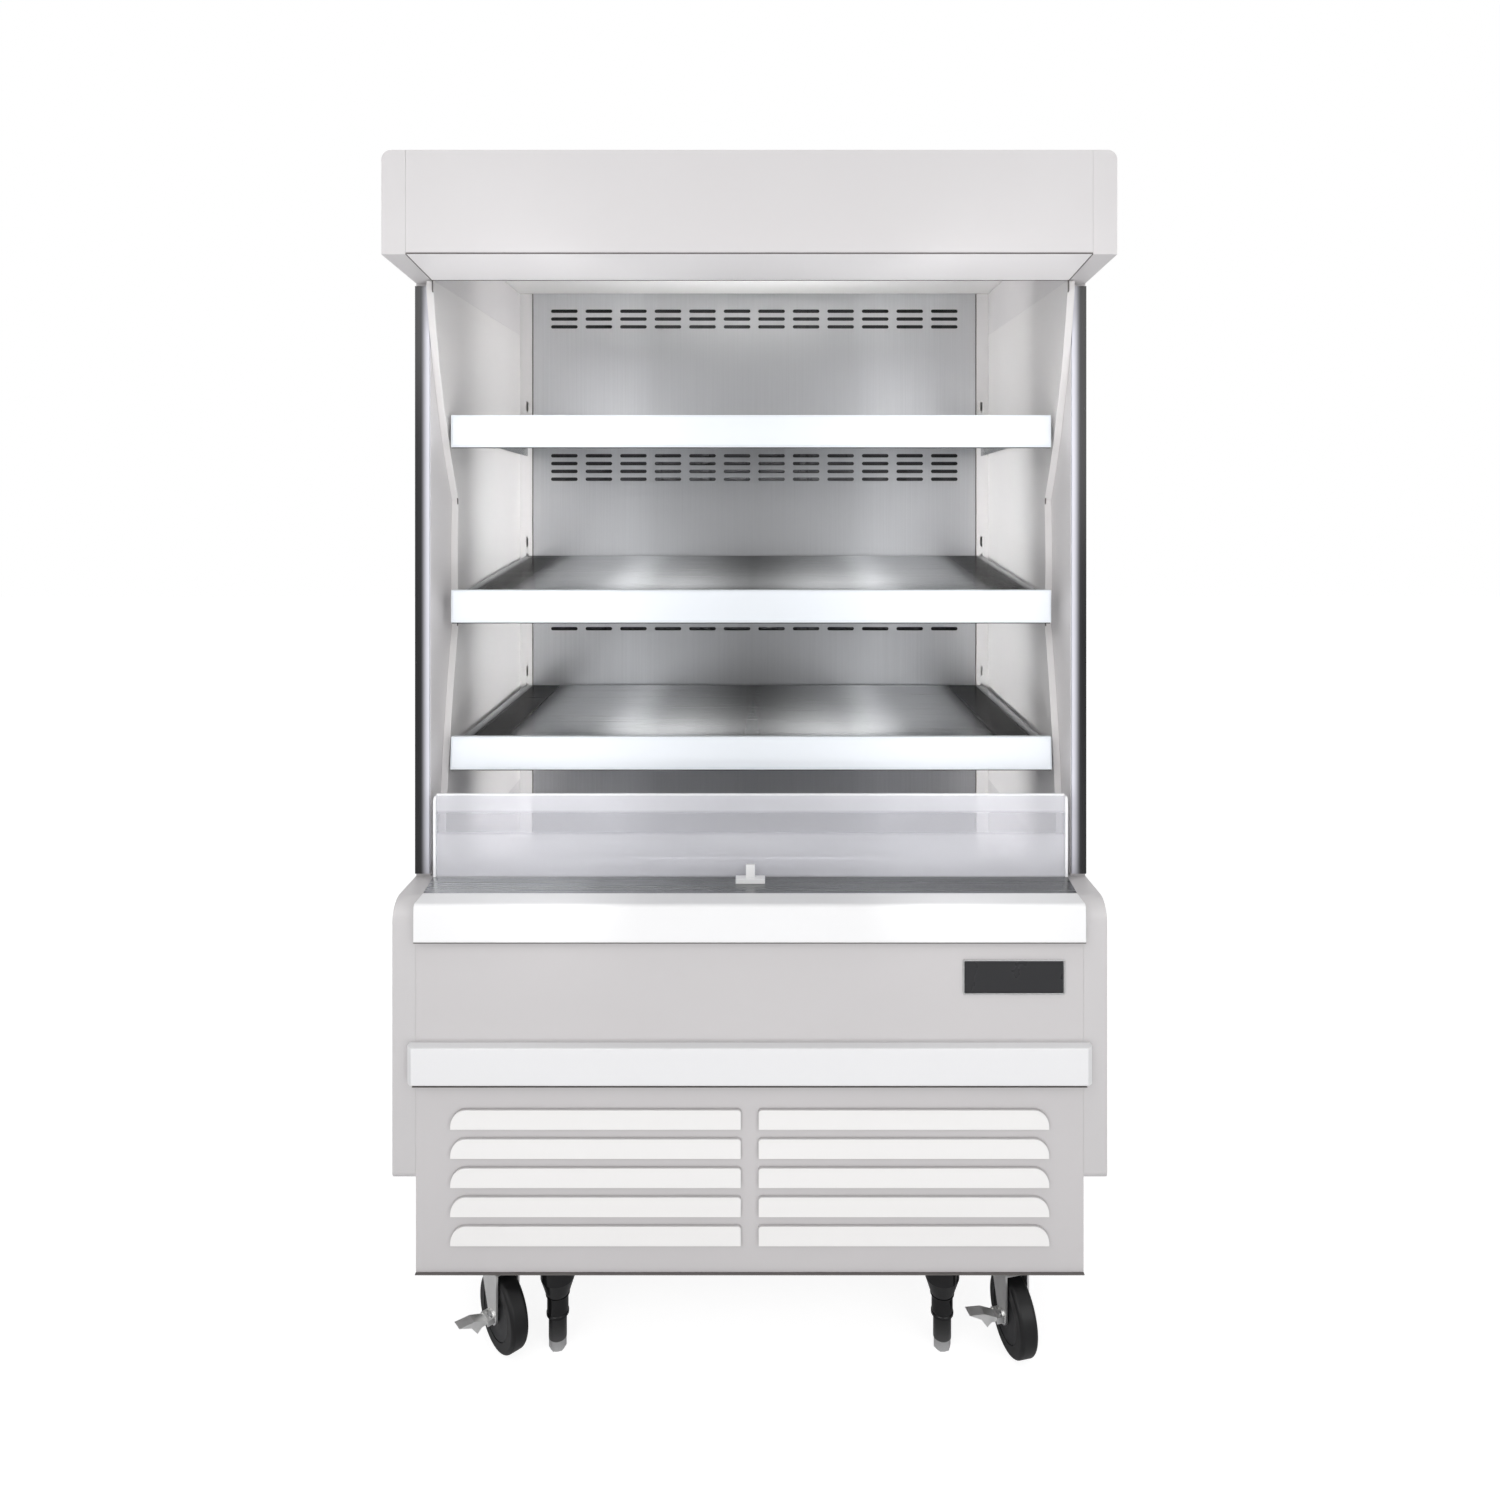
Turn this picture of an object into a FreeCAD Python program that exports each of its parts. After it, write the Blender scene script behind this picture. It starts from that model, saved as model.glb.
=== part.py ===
import FreeCAD, Part
import os
import re
import Sketcher

# Open multideck display fridge on casters. Millimetres. +Z up, the open front faces -Y,
# +X to the right seen from the front, origin on the floor under the middle of the cabinet.

Vec = FreeCAD.Vector
doc = FreeCAD.newDocument("display_fridge")
sheet = doc.addObject("Spreadsheet::Sheet", "Dims")

SIZES = {
    # whole cabinet
    "cab_wide": 1219,
    "cab_deep": 889,
    "cab_tall": 2044,
    "seat_gap": 0.3,
    "skin": 2.2,
    # side panels
    "side_thick": 40,
    "mid_thick": 27,
    "mid_setback": 170,
    "base_setback": 50,
    "canopy_tall": 173,
    "canopy_step": 14,
    "base_top": 778,
    "base_low": 304,
    "base_nose_radius": 35,
    "base_foot_radius": 14,
    "crown_radius": 16,
    "trim_wide": 26,
    "trim_proud": 6,
    "trim_end_gap": 6,
    # side liners with the curved front edge
    "liner_top_front": 144,
    "liner_waist_front": 295.5,
    "liner_foot_front": 210.5,
    "liner_bend_drop": 17,
    "liner_waist_drop": 396,
    "liner_waist_tall": 237,
    "liner_upper_radius": 1130,
    "liner_waist_radius": 1080,
    "liner_lower_radius": 2000,
    # roof, rear wall and canopy
    "roof_thick": 40,
    "wall_thick": 50,
    "duct_deep": 41.5,
    "back_sheet": 1.5,
    "duct_tall": 44,
    "fascia_lift": 3.2,
    "soffit_deep": 130,
    "soffit_fall": 16,
    "soffit_lip": 25,
    "soffit_sheet": 3,
    "outlet_front": 196.5,
    "outlet_deep": 78,
    "outlet_drop": 75,
    "outlet_tall": 20,
    "outlet_end_gap": 13.5,
    "cell_wide": 22,
    "cell_deep": 20,
    "cell_wall": 4,
    "lamp_back": 90,
    "lamp_deep": 30,
    "lamp_drop": 58,
    "lamp_tall": 18,
    "lamp_tube_radius": 8,
    "lamp_tube_drop": 11,
    "lamp_inset": 49.5,
    "lamp_socket": 10,
    # back panel and slotted uprights
    "upright_wide": 29,
    "upright_deep": 24,
    "upright_sheet": 2,
    "panel_gap": 3,
    "deck_drop": 144,
    "slot_long": 65,
    "slot_tall": 8.5,
    "slot_pitch": 84,
    "slot_margin": 60,
    "slot_row": 19,
    "slots_top_drop": 44.5,
    "slots_mid_drop": 87,
    "slots_low_drop": 141.5,
    "hook_slot_wide": 5,
    "hook_slot_up": 4,
    "hook_slot_down": 20,
    "hook_pitch": 40,
    "hook_slots": 3,
    # shelves
    "shelf_side_gap": 3,
    "shelf_front": 229.7,
    "shelf_sheet": 2,
    "shelf_lip": 24,
    "shelf_back_gap": 9,
    "shelf_drop": 1,
    "bracket_sheet": 3,
    "bracket_inset": 11.8,
    "bracket_tall": 88,
    "bracket_nose": 30,
    "bracket_heel": 6.5,
    "hook_long": 9,
    "hook_web": 3,
    "hook_top": 2,
    "hook_low": 13,
    "hook_sheet": 2.5,
    "shelf_top_drop": 309,
    "shelf_mid_drop": 7,
    "shelf_low_rise": 375,
    "shelf_tilt": 4,
    "shelf_flat": 0,
    "rail_end_gap": 9.5,
    "rail_tall": 60,
    "rail_up": 10,
    "rail_deep": 7,
    "rail_lean": 5,
    # lower front
    "tub_floor_low": 490,
    "tub_floor_thick": 40,
    "tub_wall_thick": 52,
    "glass_end_gap": 5,
    "glass_front": 145.5,
    "glass_thick": 6,
    "glass_tall": 153.7,
    "sill_front": 87.5,
    "sill_back": 154.2,
    "sill_slope_end": 138,
    "sill_lift": 0.7,
    "sill_slope_rise": 7,
    "sill_thick": 4.7,
    "channel_front": 144.8,
    "channel_back": 152.2,
    "channel_deep": 6.7,
    "nose_front": 37,
    "nose_radius": 8,
    "rail_face_tall": 63.8,
    "bumper_front": 30,
    "bumper_under": 32,
    "bumper_tall": 64.3,
    "bumper_over": 10.5,
    "bumper_chamfer": 9,
    "bumper_round": 3,
    "split_rise": 17,
    "grille_low": 147.5,
    "louvre_in": 14.5,
    "louvre_edge": 60.5,
    "louvre_drop": 80,
    "louvre_tall": 32.4,
    "louvre_pitch": 49.4,
    "louvre_count": 5,
    "louvre_round": 26,
    "louvre_small_round": 6,
    "louvre_proud": 5,
    "louvre_sheet": 1.5,
    "catch_half": 26,
    "catch_deep": 20,
    "catch_front": 118,
    "catch_base_tall": 5,
    "catch_tab_half": 8,
    "catch_tab_deep": 5,
    "catch_tall": 28.3,
    # return grille and deck
    "return_front": 154.8,
    "return_back": 249.5,
    "return_fall": 2.7,
    "return_sheet": 2,
    "return_slot_long": 62,
    "return_slot_wide": 7,
    "return_slot_pitch": 76,
    "return_slot_row": 22,
    "return_margin": 60,
    "pan_sheet": 2,
    "pan_lip": 12,
    "pan_end_gap": 3.5,
    "pan_back_gap": 6,
    "fan_plate_at": 384,
    "fan_plate_sheet": 3,
    "fan_at": 250,
    "fan_ring_radius": 39,
    "fan_radius": 34,
    "fan_hub_radius": 13,
    "fan_hub_long": 18,
    "fan_blade_sheet": 3,
    "fan_blade_rise": 7,
    "blade_inset": 1,
    "fan_motor_radius": 15,
    "fan_motor_long": 24,
    "fan_arm_wide": 6,
    "fan_clear": 3,
    "fan_arm_sheet": 3,
    "coil_inset": 99.5,
    "coil_front": 474,
    "coil_deep": 190,
    "coil_tall": 72,
    "coil_fin_pitch": 20,
    "coil_fin_gap": 12,
    "coil_fin_cut": 8,
    # machine compartment
    "frame_low": 159.3,
    "frame_sheet": 5,
    "frame_post": 40,
    "frame_beam": 20,
    "frame_back_gap": 3,
    "vent_long": 130,
    "vent_tall": 9,
    "vent_pitch": 26,
    "vent_count": 7,
    "vent_low": 230,
    "vent_at": 170,
    "comp_at": 290,
    "comp_back": 560,
    "comp_radius": 88,
    "comp_tall": 190,
    "comp_dome": 40,
    "comp_foot_half": 105,
    "comp_foot_tall": 8,
    "comp_stand": 12,
    "comp_stand_radius": 50,
    "comp_foot_deep": 60,
    "cond_at": 190,
    "cond_half": 180,
    "cond_front": 100,
    "cond_deep": 60,
    "cond_low": 175,
    "cond_tall": 270,
    "cond_fin_pitch": 12,
    "cond_fin_gap": 7,
    "cond_fin_cut": 6,
    "shroud_deep": 60,
    "shroud_sheet": 2,
    "cfan_ring_radius": 112,
    "cfan_radius": 103,
    "cfan_blade_rise": 20,
    "cfan_hub_radius": 24,
    "cfan_hub_long": 26,
    "cfan_motor_radius": 32,
    "cfan_motor_long": 60,
    "cfan_arm_wide": 14,
    "blade_count": 5,
    "pipe_radius": 5,
    "pipe_bend": 30,
    "gland_inset": 149.5,
    "gland_high": 215,
    "gland_radius": 13,
    "gland_hole": 8,
    "gland_flange": 18,
    "gland_flange_thick": 2.6,
    "screw_head_radius": 4,
    "screw_head_tall": 2,
    # casters
    "caster_inset": 122.5,
    "caster_front": 101,
    "caster_rear": 104.5,
    "caster_left_yaw": 41,
    "caster_right_yaw": 13,
    "caster_rear_yaw": 0,
    "caster_plate_half_wide": 48,
    "caster_plate_half_deep": 42,
    "caster_plate_thick": 3,
    "caster_race_radius": 24,
    "caster_race_tall": 7,
    "caster_crown_tall": 12,
    "caster_crown_radius": 27,
    "caster_trail": 32,
    "swivel_gap": 0.3,
    "wheel_radius": 63.5,
    "wheel_wide": 32,
    "wheel_round": 7,
    "wheel_dish_radius": 43,
    "wheel_dish": 4,
    "wheel_boss_radius": 12,
    "fork_gap": 2.5,
    "fork_sheet": 3.5,
    "fork_foot_half": 15,
    "axle_radius": 6,
    "axle_head": 3,
    "axle_head_radius": 10,
    "run_gap": 0.05,
    "lever_high": 64,
    "lever_long": 54,
    "lever_rise": 16,
    "lever_wide": 20,
    "lever_sheet": 5,
    "lever_tooth": 9,
    "lever_pin_radius": 2.5,
    "lever_barrel_radius": 5,
    "lever_ear": 3,
    "lever_out": 9.5,
    # front legs
    "leg_inset": 237,
    "leg_front": 76.5,
    "cup_radius": 29.5,
    "cup_low": 122,
    "cup_top_gap": 1,
    "cup_neck_radius": 23,
    "cup_foot_radius": 20,
    "cup_foot_low": 94,
    "sleeve_radius": 18.25,
    "sleeve_low": 57,
    "leg_bore_top": 140,
    "foot_radius": 15.5,
    "foot_low": 18,
    "foot_top": 96,
    "foot_tip_radius": 13,
    # night curtain
    "roller_back": 165.5,
    "roller_drop": 35,
    "roller_radius": 28,
    "roller_inset": 16.5,
    "journal_radius": 6,
    "journal_long": 11,
    "curtain_bracket_thick": 8,
    "curtain_bracket_half": 22,
    "bar_end_gap": 14.5,
    "bar_deep": 12,
    "bar_hang": 57,
    "bar_tall": 22,
    "fabric_sheet": 0.5,
    "fabric_inset": 24.5,
}

for row, (name, size) in enumerate(SIZES.items(), start=1):
    sheet.set("A%d" % row, name)
    sheet.set("B%d" % row, str(size))
    sheet.setAlias("B%d" % row, name)
doc.recompute()

# Positions that follow from the sizes. Those named *_y run from the front of the canopy backwards.
DERIVED = {
    "face_y": "-cab_deep/2",
    "rear_y": "cab_deep/2",
    "out_x": "cab_wide/2",
    "in_x": "cab_wide/2-side_thick",
    "mid_x": "cab_wide/2-mid_thick",
    "fit_x": "in_x-seat_gap",
    "mid_y": "face_y+mid_setback",
    "base_y": "face_y+base_setback",
    "skin_y": "base_y+skin",
    "wall_y": "rear_y-wall_thick",
    "back_y": "wall_y-duct_deep-back_sheet",
    "roof_low": "cab_tall-roof_thick",
    "canopy_front_low": "cab_tall-canopy_tall",
    "canopy_mid_low": "canopy_front_low-canopy_step",
    "soffit_back_low": "canopy_front_low-soffit_fall",
    "ceiling_high": "roof_low-duct_tall",
    "liner_top_bend": "canopy_mid_low-liner_bend_drop",
    "liner_waist_high": "canopy_mid_low-liner_waist_drop",
    "liner_waist_low": "liner_waist_high-liner_waist_tall",
    "outlet_low": "ceiling_high-outlet_drop",
    "outlet_half": "in_x-outlet_end_gap",
    "cell_count": "floor((2*outlet_half-cell_wall)/(cell_wide+cell_wall))",
    "lamp_low": "ceiling_high-lamp_drop",
    "lamp_half": "in_x-lamp_inset",
    "upright_x": "in_x-seat_gap-upright_wide",
    "bracket_at": "upright_x+bracket_inset",
    "shelf_half": "bracket_at-shelf_side_gap",
    "shelf_deep": "pivot_y-face_y-shelf_front",
    "shelf_top_pivot": "ceiling_high-shelf_top_drop",
    "shelf_mid_pivot": "(shelf_top_pivot+shelf_low_pivot)/2-shelf_mid_drop",
    "shelf_low_pivot": "deck_high+shelf_low_rise",
    "rail_half": "in_x-rail_end_gap",
    "slots_top": "ceiling_high-slots_top_drop",
    "slots_middle": "shelf_top_pivot-slots_mid_drop",
    "slots_bottom": "shelf_mid_pivot-slots_low_drop",
    "slot_count": "floor((2*upright_x-slot_margin)/slot_pitch)",
    "deck_high": "base_top-deck_drop",
    "sill_front_high": "base_top+sill_lift",
    "sill_high": "sill_front_high+sill_slope_rise",
    "sill_low": "sill_front_high-sill_thick",
    "channel_low": "sill_high-channel_deep",
    "glass_low": "channel_low+seat_gap",
    "glass_top": "glass_low+glass_tall",
    "glass_half": "in_x-glass_end_gap",
    "rail_face_low": "sill_front_high-rail_face_tall",
    "panel_split": "tub_floor_low+split_rise",
    "bumper_low": "panel_split-bumper_under",
    "bumper_high": "bumper_low+bumper_tall",
    "bumper_half": "in_x+bumper_over",
    "louvre_out": "in_x-louvre_edge",
    "louvre_top": "panel_split-louvre_drop",
    "catch_high": "sill_high+catch_tall",
    "return_back_high": "sill_high-return_fall",
    "return_slots": "floor((2*in_x-return_margin)/return_slot_pitch)",
    "pan_half": "in_x-pan_end_gap",
    "coil_half": "in_x-coil_inset",
    "coil_fins": "floor((2*coil_half-coil_fin_gap)/coil_fin_pitch)",
    "cond_fins": "floor((2*cond_half-cond_fin_gap)/cond_fin_pitch)",
    "gland_at": "in_x-gland_inset",
    "tub_floor_top": "tub_floor_low+tub_floor_thick",
    "tub_front_y": "skin_y+seat_gap",
    "riser_y": "face_y+return_back",
    "pan_low": "deck_high-pan_sheet-pan_lip",
    "fan_y": "face_y+fan_plate_at",
    "fan_high": "(tub_floor_top+pan_low)/2",
    "frame_top": "tub_floor_low-seat_gap",
    "frame_back_y": "rear_y-frame_back_gap",
    "cond_y": "face_y+cond_front",
    "cond_back_y": "cond_y+cond_deep",
    "cond_mid_high": "cond_low+cond_tall/2",
    "comp_y": "face_y+comp_back",
    "comp_low": "frame_low+frame_sheet+seat_gap",
    "skirt_x": "fit_x-frame_sheet",
    "frame_y": "skin_y+seat_gap",
    "liner_ceiling": "ceiling_high-back_sheet-seat_gap",
    "outlet_y": "face_y+outlet_front",
    "lamp_y": "face_y+lamp_back",
    "roller_y": "face_y+roller_back",
    "roller_high": "ceiling_high-roller_drop",
    "roller_half": "in_x-roller_inset",
    "fabric_y": "roller_y-roller_radius",
    "fabric_half": "in_x-fabric_inset",
    "bar_low": "roller_high-bar_hang",
    "bar_half": "in_x-bar_end_gap",
    "pivot_y": "back_y-seat_gap",
    "caster_at": "in_x-caster_inset",
    "caster_top": "frame_low-seat_gap",
    "race_low": "caster_top-caster_plate_thick-caster_race_tall",
    "crown_top": "race_low-swivel_gap",
    "crown_low": "crown_top-caster_crown_tall",
    "fork_in": "wheel_wide/2+fork_gap",
    "fork_out": "fork_in+fork_sheet",
    "leg_at": "in_x-leg_inset",
    "leg_y": "face_y+leg_front",
}


def expand(text):
    """Turn the names in an expression into references to the sheet."""
    def swap(match):
        word = match.group(0)
        if word in DERIVED:
            return "(" + expand(DERIVED[word]) + ")"
        if word in SIZES:
            return "Dims." + word
        return word
    return re.sub(r"[a-z][a-z_]*", swap, str(text))


def value(text):
    return float(sheet.evalExpression(expand(text)))


def bind(thing, prop, text):
    thing.setExpression(prop, expand(text))


ROLES = {"X": "YZ_Plane", "Y": "XZ_Plane", "Z": "XY_Plane"}
TURNS = {"X": (Vec(0, 1, 0), 90), "Y": (Vec(1, 0, 0), -90), "Z": (Vec(0, 0, 1), 0)}
NODES = {}


def node(thing, label):
    thing.Label = label
    NODES[label] = thing
    return thing


def hold(made, kind, first, first_end, text):
    """Fix one coordinate of a sketch point to an expression."""
    flat = kind == "DistanceX"
    size = value(text)
    if abs(size) < 1e-7:
        made.addConstraint(Sketcher.Constraint("PointOnObject", first, first_end, -2 if flat else -1))
        return
    index = made.addConstraint(Sketcher.Constraint(kind, -1, 1, first, first_end, size))
    bind(made, "Constraints[%d]" % index, text)


def draw_circle(made, across, up, radius):
    centre = Vec(value(across), value(up), 0)
    index = made.addGeometry(Part.Circle(centre, Vec(0, 0, 1), value(radius)))
    hold(made, "DistanceX", index, 3, across)
    hold(made, "DistanceY", index, 3, up)
    round_one = made.addConstraint(Sketcher.Constraint("Radius", index, value(radius)))
    bind(made, "Constraints[%d]" % round_one, radius)


def arc_between(start, finish, radius, turn):
    """Short arc from start to finish; turn +1 runs anticlockwise, -1 clockwise."""
    along = finish - start
    half = along.Length / 2
    side = Vec(-along.y, along.x, 0) * (turn / along.Length)
    centre = (start + finish) * 0.5 + side * ((radius * radius - half * half) ** 0.5)
    return Part.Arc(start, centre - side * radius, finish)


def draw_loop(made, loop):
    """Closed outline. A corner is (across, up) or, when an arc follows it, (across, up, radius, turn)."""
    spots = [Vec(value(corner[0]), value(corner[1]), 0) for corner in loop]
    count = len(loop)
    indices = []
    ends = []
    for i, corner in enumerate(loop):
        start = spots[i]
        finish = spots[(i + 1) % count]
        if len(corner) == 4:
            edge = arc_between(start, finish, value(corner[2]), corner[3])
        else:
            edge = Part.LineSegment(start, finish)
        index = made.addGeometry(edge)
        indices.append(index)
        forward = (made.Geometry[index].StartPoint - start).Length < 1e-5
        ends.append((1, 2) if forward else (2, 1))
    for i, corner in enumerate(loop):
        after = (i + 1) % count
        made.addConstraint(
            Sketcher.Constraint("Coincident", indices[i], ends[i][1], indices[after], ends[after][0]))
        hold(made, "DistanceX", indices[i], ends[i][0], corner[0])
        hold(made, "DistanceY", indices[i], ends[i][0], corner[1])
        if len(corner) == 4:
            index = made.addConstraint(Sketcher.Constraint("Radius", indices[i], value(corner[2])))
            bind(made, "Constraints[%d]" % index, corner[2])


def sketch(owner, axis, loops, level):
    """Sketch square to an axis. Loops are corner lists, or (across, up, radius) for a circle."""
    made = owner.newObject("Sketcher::SketchObject", owner.Name + "_outline")
    made.AttachmentSupport = ([o for o in owner.Origin.OriginFeatures if o.Role == ROLES[axis]][0], [""])
    made.MapMode = "FlatFace"
    bind(made, "AttachmentOffset.Base.z", "-(%s)" % level if axis == "Y" else level)
    for loop in loops:
        if isinstance(loop, tuple):
            draw_circle(made, *loop)
        else:
            draw_loop(made, loop)
    return made


def body(label):
    return node(doc.addObject("PartDesign::Body", label), label)


def inner_body(name):
    return doc.addObject("PartDesign::Body", name)


def pad(owner, axis, loops, low, high):
    """Add the outline from low to high along the axis."""
    profile = sketch(owner, axis, loops, high if axis == "Y" else low)
    made = owner.newObject("PartDesign::Pad", owner.Name + "_pad")
    made.Profile = profile
    bind(made, "Length", "(%s)-(%s)" % (high, low))
    profile.Visibility = False
    owner.Tip = made
    return made


def pocket(owner, axis, loops, low, high):
    """Cut the outline away from low to high along the axis."""
    profile = sketch(owner, axis, loops, low if axis == "Y" else high)
    made = owner.newObject("PartDesign::Pocket", owner.Name + "_pocket")
    made.Profile = profile
    bind(made, "Length", "(%s)-(%s)" % (high, low))
    owner.Tip = made
    return made


def repeat(owner, features, direction, length, count):
    """Row of the given features along H_Axis or V_Axis of the last one's sketch."""
    made = owner.newObject("PartDesign::LinearPattern", owner.Name + "_row")
    made.Originals = features
    made.Direction = (features[-1].Profile[0], [direction])
    bind(made, "Length", length)
    bind(made, "Occurrences", count)
    owner.Tip = made
    return made


def fillet(owner, base, wanted, radius):
    """Round the edges for which wanted(edge) holds."""
    doc.recompute()
    names = ["Edge%d" % (i + 1) for i, edge in enumerate(base.Shape.Edges) if wanted(edge)]
    made = owner.newObject("PartDesign::Fillet", owner.Name + "_round")
    made.Base = (base, names)
    bind(made, "Radius", radius)
    owner.Tip = made
    return made


def rect(left, right, low, high):
    return [(left, low), (right, low), (right, high), (left, high)]


def stadium(left, right, low, high):
    """Slot with round ends, lying along the first direction."""
    half = "((%s)-(%s))/2" % (high, low)
    return [("(%s)+%s" % (left, half), low), ("(%s)-%s" % (right, half), low, half + "*1.0001", 1),
            ("(%s)-%s" % (right, half), high), ("(%s)+%s" % (left, half), high, half + "*1.0001", 1)]


def box(name, left, right, front, back, low, high):
    made = doc.addObject("Part::Box", name)
    for prop, start, finish in (("Length", left, right), ("Width", front, back), ("Height", low, high)):
        bind(made, prop, "(%s)-(%s)" % (finish, start))
    for letter, start in (("x", left), ("y", front), ("z", low)):
        bind(made, "Placement.Base." + letter, start)
    return made


def cylinder(name, axis, across, deep, up, radius, length):
    """Round bar starting at the given point and running along +axis."""
    made = doc.addObject("Part::Cylinder", name)
    made.Placement = FreeCAD.Placement(Vec(), FreeCAD.Rotation(*TURNS[axis]))
    bind(made, "Radius", radius)
    bind(made, "Height", length)
    for letter, start in (("x", across), ("y", deep), ("z", up)):
        bind(made, "Placement.Base." + letter, start)
    return made


def fuse(name, parts):
    made = doc.addObject("Part::MultiFuse", name)
    made.Shapes = parts
    return made


def group(label, parts):
    """Several solids that share one node."""
    made = doc.addObject("Part::Compound", label)
    made.Links = parts
    return node(made, label)


def place(thing, across, deep, up, axis, angle):
    thing.Placement = FreeCAD.Placement(Vec(), FreeCAD.Rotation(axis, value(angle)))
    for letter, start in (("x", across), ("y", deep), ("z", up)):
        bind(thing, "Placement.Base." + letter, start)
    bind(thing, "Placement.Rotation.Angle", angle)


def span(sign, near, far):
    """Low and high ends of a stretch given by distances from the middle, on either side."""
    if sign > 0:
        return near, far
    return "-(%s)" % far, "-(%s)" % near


def shaped(label, shape):
    made = doc.addObject("Part::Feature", label)
    made.Shape = shape
    return node(made, label)


# ---- side panels, liners and trims -------------------------------------------------------------

def is_crown(edge):
    """Outer top edge running front to back."""
    ends = edge.BoundBox
    top = abs(ends.ZMin - value("cab_tall")) < 0.01 and ends.ZLength < 0.01
    outer = abs(abs(ends.XMin) - value("out_x")) < 0.01 and ends.XLength < 0.01
    return top and outer


def side_panel(label, sign):
    owner = body(label)
    canopy = [("face_y", "canopy_front_low"), ("mid_y", "canopy_mid_low"), ("rear_y", "canopy_mid_low"),
              ("rear_y", "cab_tall"), ("face_y", "cab_tall")]
    base = [("base_y+base_foot_radius", "base_low"), ("rear_y", "base_low"), ("rear_y", "base_top"),
            ("base_y+base_nose_radius", "base_top", "base_nose_radius", 1),
            ("base_y", "base_top-base_nose_radius"),
            ("base_y", "base_low+base_foot_radius", "base_foot_radius", 1)]
    middle = rect("mid_y", "rear_y", "base_top", "canopy_mid_low")
    whole_low, whole_high = span(sign, "in_x", "out_x")
    mid_low, mid_high = span(sign, "mid_x", "out_x")
    pad(owner, "X", [base], whole_low, whole_high)
    pad(owner, "X", [middle], mid_low, mid_high)
    last = pad(owner, "X", [canopy], whole_low, whole_high)
    fillet(owner, last, is_crown, "crown_radius")


def side_liner(label, sign):
    owner = body(label)
    low, high = span(sign, "in_x", "mid_x-seat_gap")
    edge = [("face_y+liner_foot_front", "base_top+seat_gap"),
            ("rear_y", "base_top+seat_gap"),
            ("rear_y", "canopy_mid_low-seat_gap"),
            ("face_y+liner_top_front", "canopy_mid_low-seat_gap"),
            ("face_y+liner_top_front", "liner_top_bend", "liner_upper_radius", 1),
            ("face_y+liner_waist_front", "liner_waist_high", "liner_waist_radius", 1),
            ("face_y+liner_waist_front", "liner_waist_low", "liner_lower_radius", 1)]
    pad(owner, "X", [edge], low, high)


def side_trim(name, sign):
    owner = inner_body(name)
    low, high = span(sign, "out_x-trim_wide", "out_x")
    pad(owner, "X", [rect("mid_y-seat_gap-trim_proud", "mid_y-seat_gap",
                          "base_top+trim_end_gap", "canopy_mid_low-trim_end_gap")], low, high)
    return owner


side_panel("side_panel_left", -1)
side_panel("side_panel_right", 1)
side_liner("side_liner_left", -1)
side_liner("side_liner_right", 1)
group("side_trims", [side_trim("trim_left", -1), side_trim("trim_right", 1)])

# ---- roof, rear wall and canopy ----------------------------------------------------------------

roof = body("roof_panel")
pad(roof, "X", [rect("face_y+skin+seat_gap", "rear_y", "roof_low", "cab_tall")], "-fit_x", "fit_x")

wall = body("rear_wall")
pad(wall, "X", [rect("wall_y", "rear_y", "tub_floor_low", "roof_low-seat_gap")], "-fit_x", "fit_x")

fascia = body("canopy_fascia")
pad(fascia, "X", [rect("face_y", "face_y+skin", "canopy_front_low+fascia_lift", "cab_tall")],
    "-fit_x", "fit_x")

soffit = body("canopy_soffit")
pad(soffit, "X", [[
    ("face_y+seat_gap", "canopy_front_low"),
    ("face_y+soffit_deep", "soffit_back_low"),
    ("face_y+soffit_deep", "soffit_back_low+soffit_lip"),
    ("face_y+soffit_deep-soffit_sheet", "soffit_back_low+soffit_lip"),
    ("face_y+soffit_deep-soffit_sheet", "soffit_back_low+soffit_sheet"),
    ("face_y+seat_gap", "canopy_front_low+soffit_sheet")]], "-fit_x", "fit_x")

ceiling = body("ceiling_panel")
pad(ceiling, "X", [[
    ("outlet_y+outlet_deep+seat_gap", "outlet_low"),
    ("outlet_y+outlet_deep+seat_gap+back_sheet", "outlet_low"),
    ("outlet_y+outlet_deep+seat_gap+back_sheet", "ceiling_high-back_sheet"),
    ("wall_y-seat_gap", "ceiling_high-back_sheet"),
    ("wall_y-seat_gap", "ceiling_high"),
    ("outlet_y+outlet_deep+seat_gap", "ceiling_high")]], "-fit_x", "fit_x")
duct_mouth = rect("-upright_x", "upright_x", "back_y+back_sheet+seat_gap", "wall_y-seat_gap-back_sheet")
pocket(ceiling, "Z", [duct_mouth], "ceiling_high-back_sheet", "ceiling_high")

outlet = body("discharge_honeycomb")
pad(outlet, "X", [rect("outlet_y", "outlet_y+outlet_deep", "outlet_low", "outlet_low+outlet_tall"),
                  ], "-outlet_half", "outlet_half")
pad(outlet, "X", [rect("outlet_y", "outlet_y+back_sheet", "outlet_low", "roof_low-seat_gap")],
    "-outlet_half", "outlet_half")
cells = []
for row in range(3):
    cell_y = "outlet_y+cell_wall+(cell_deep+cell_wall)*%d" % row
    cells.append(rect("cell_wall-outlet_half", "cell_wall+cell_wide-outlet_half",
                      cell_y, cell_y + "+cell_deep"))
first_cells = pocket(outlet, "Z", cells, "outlet_low", "outlet_low+outlet_tall")
repeat(outlet, [first_cells], "H_Axis", "(cell_wide+cell_wall)*(cell_count-1)", "cell_count")

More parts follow.
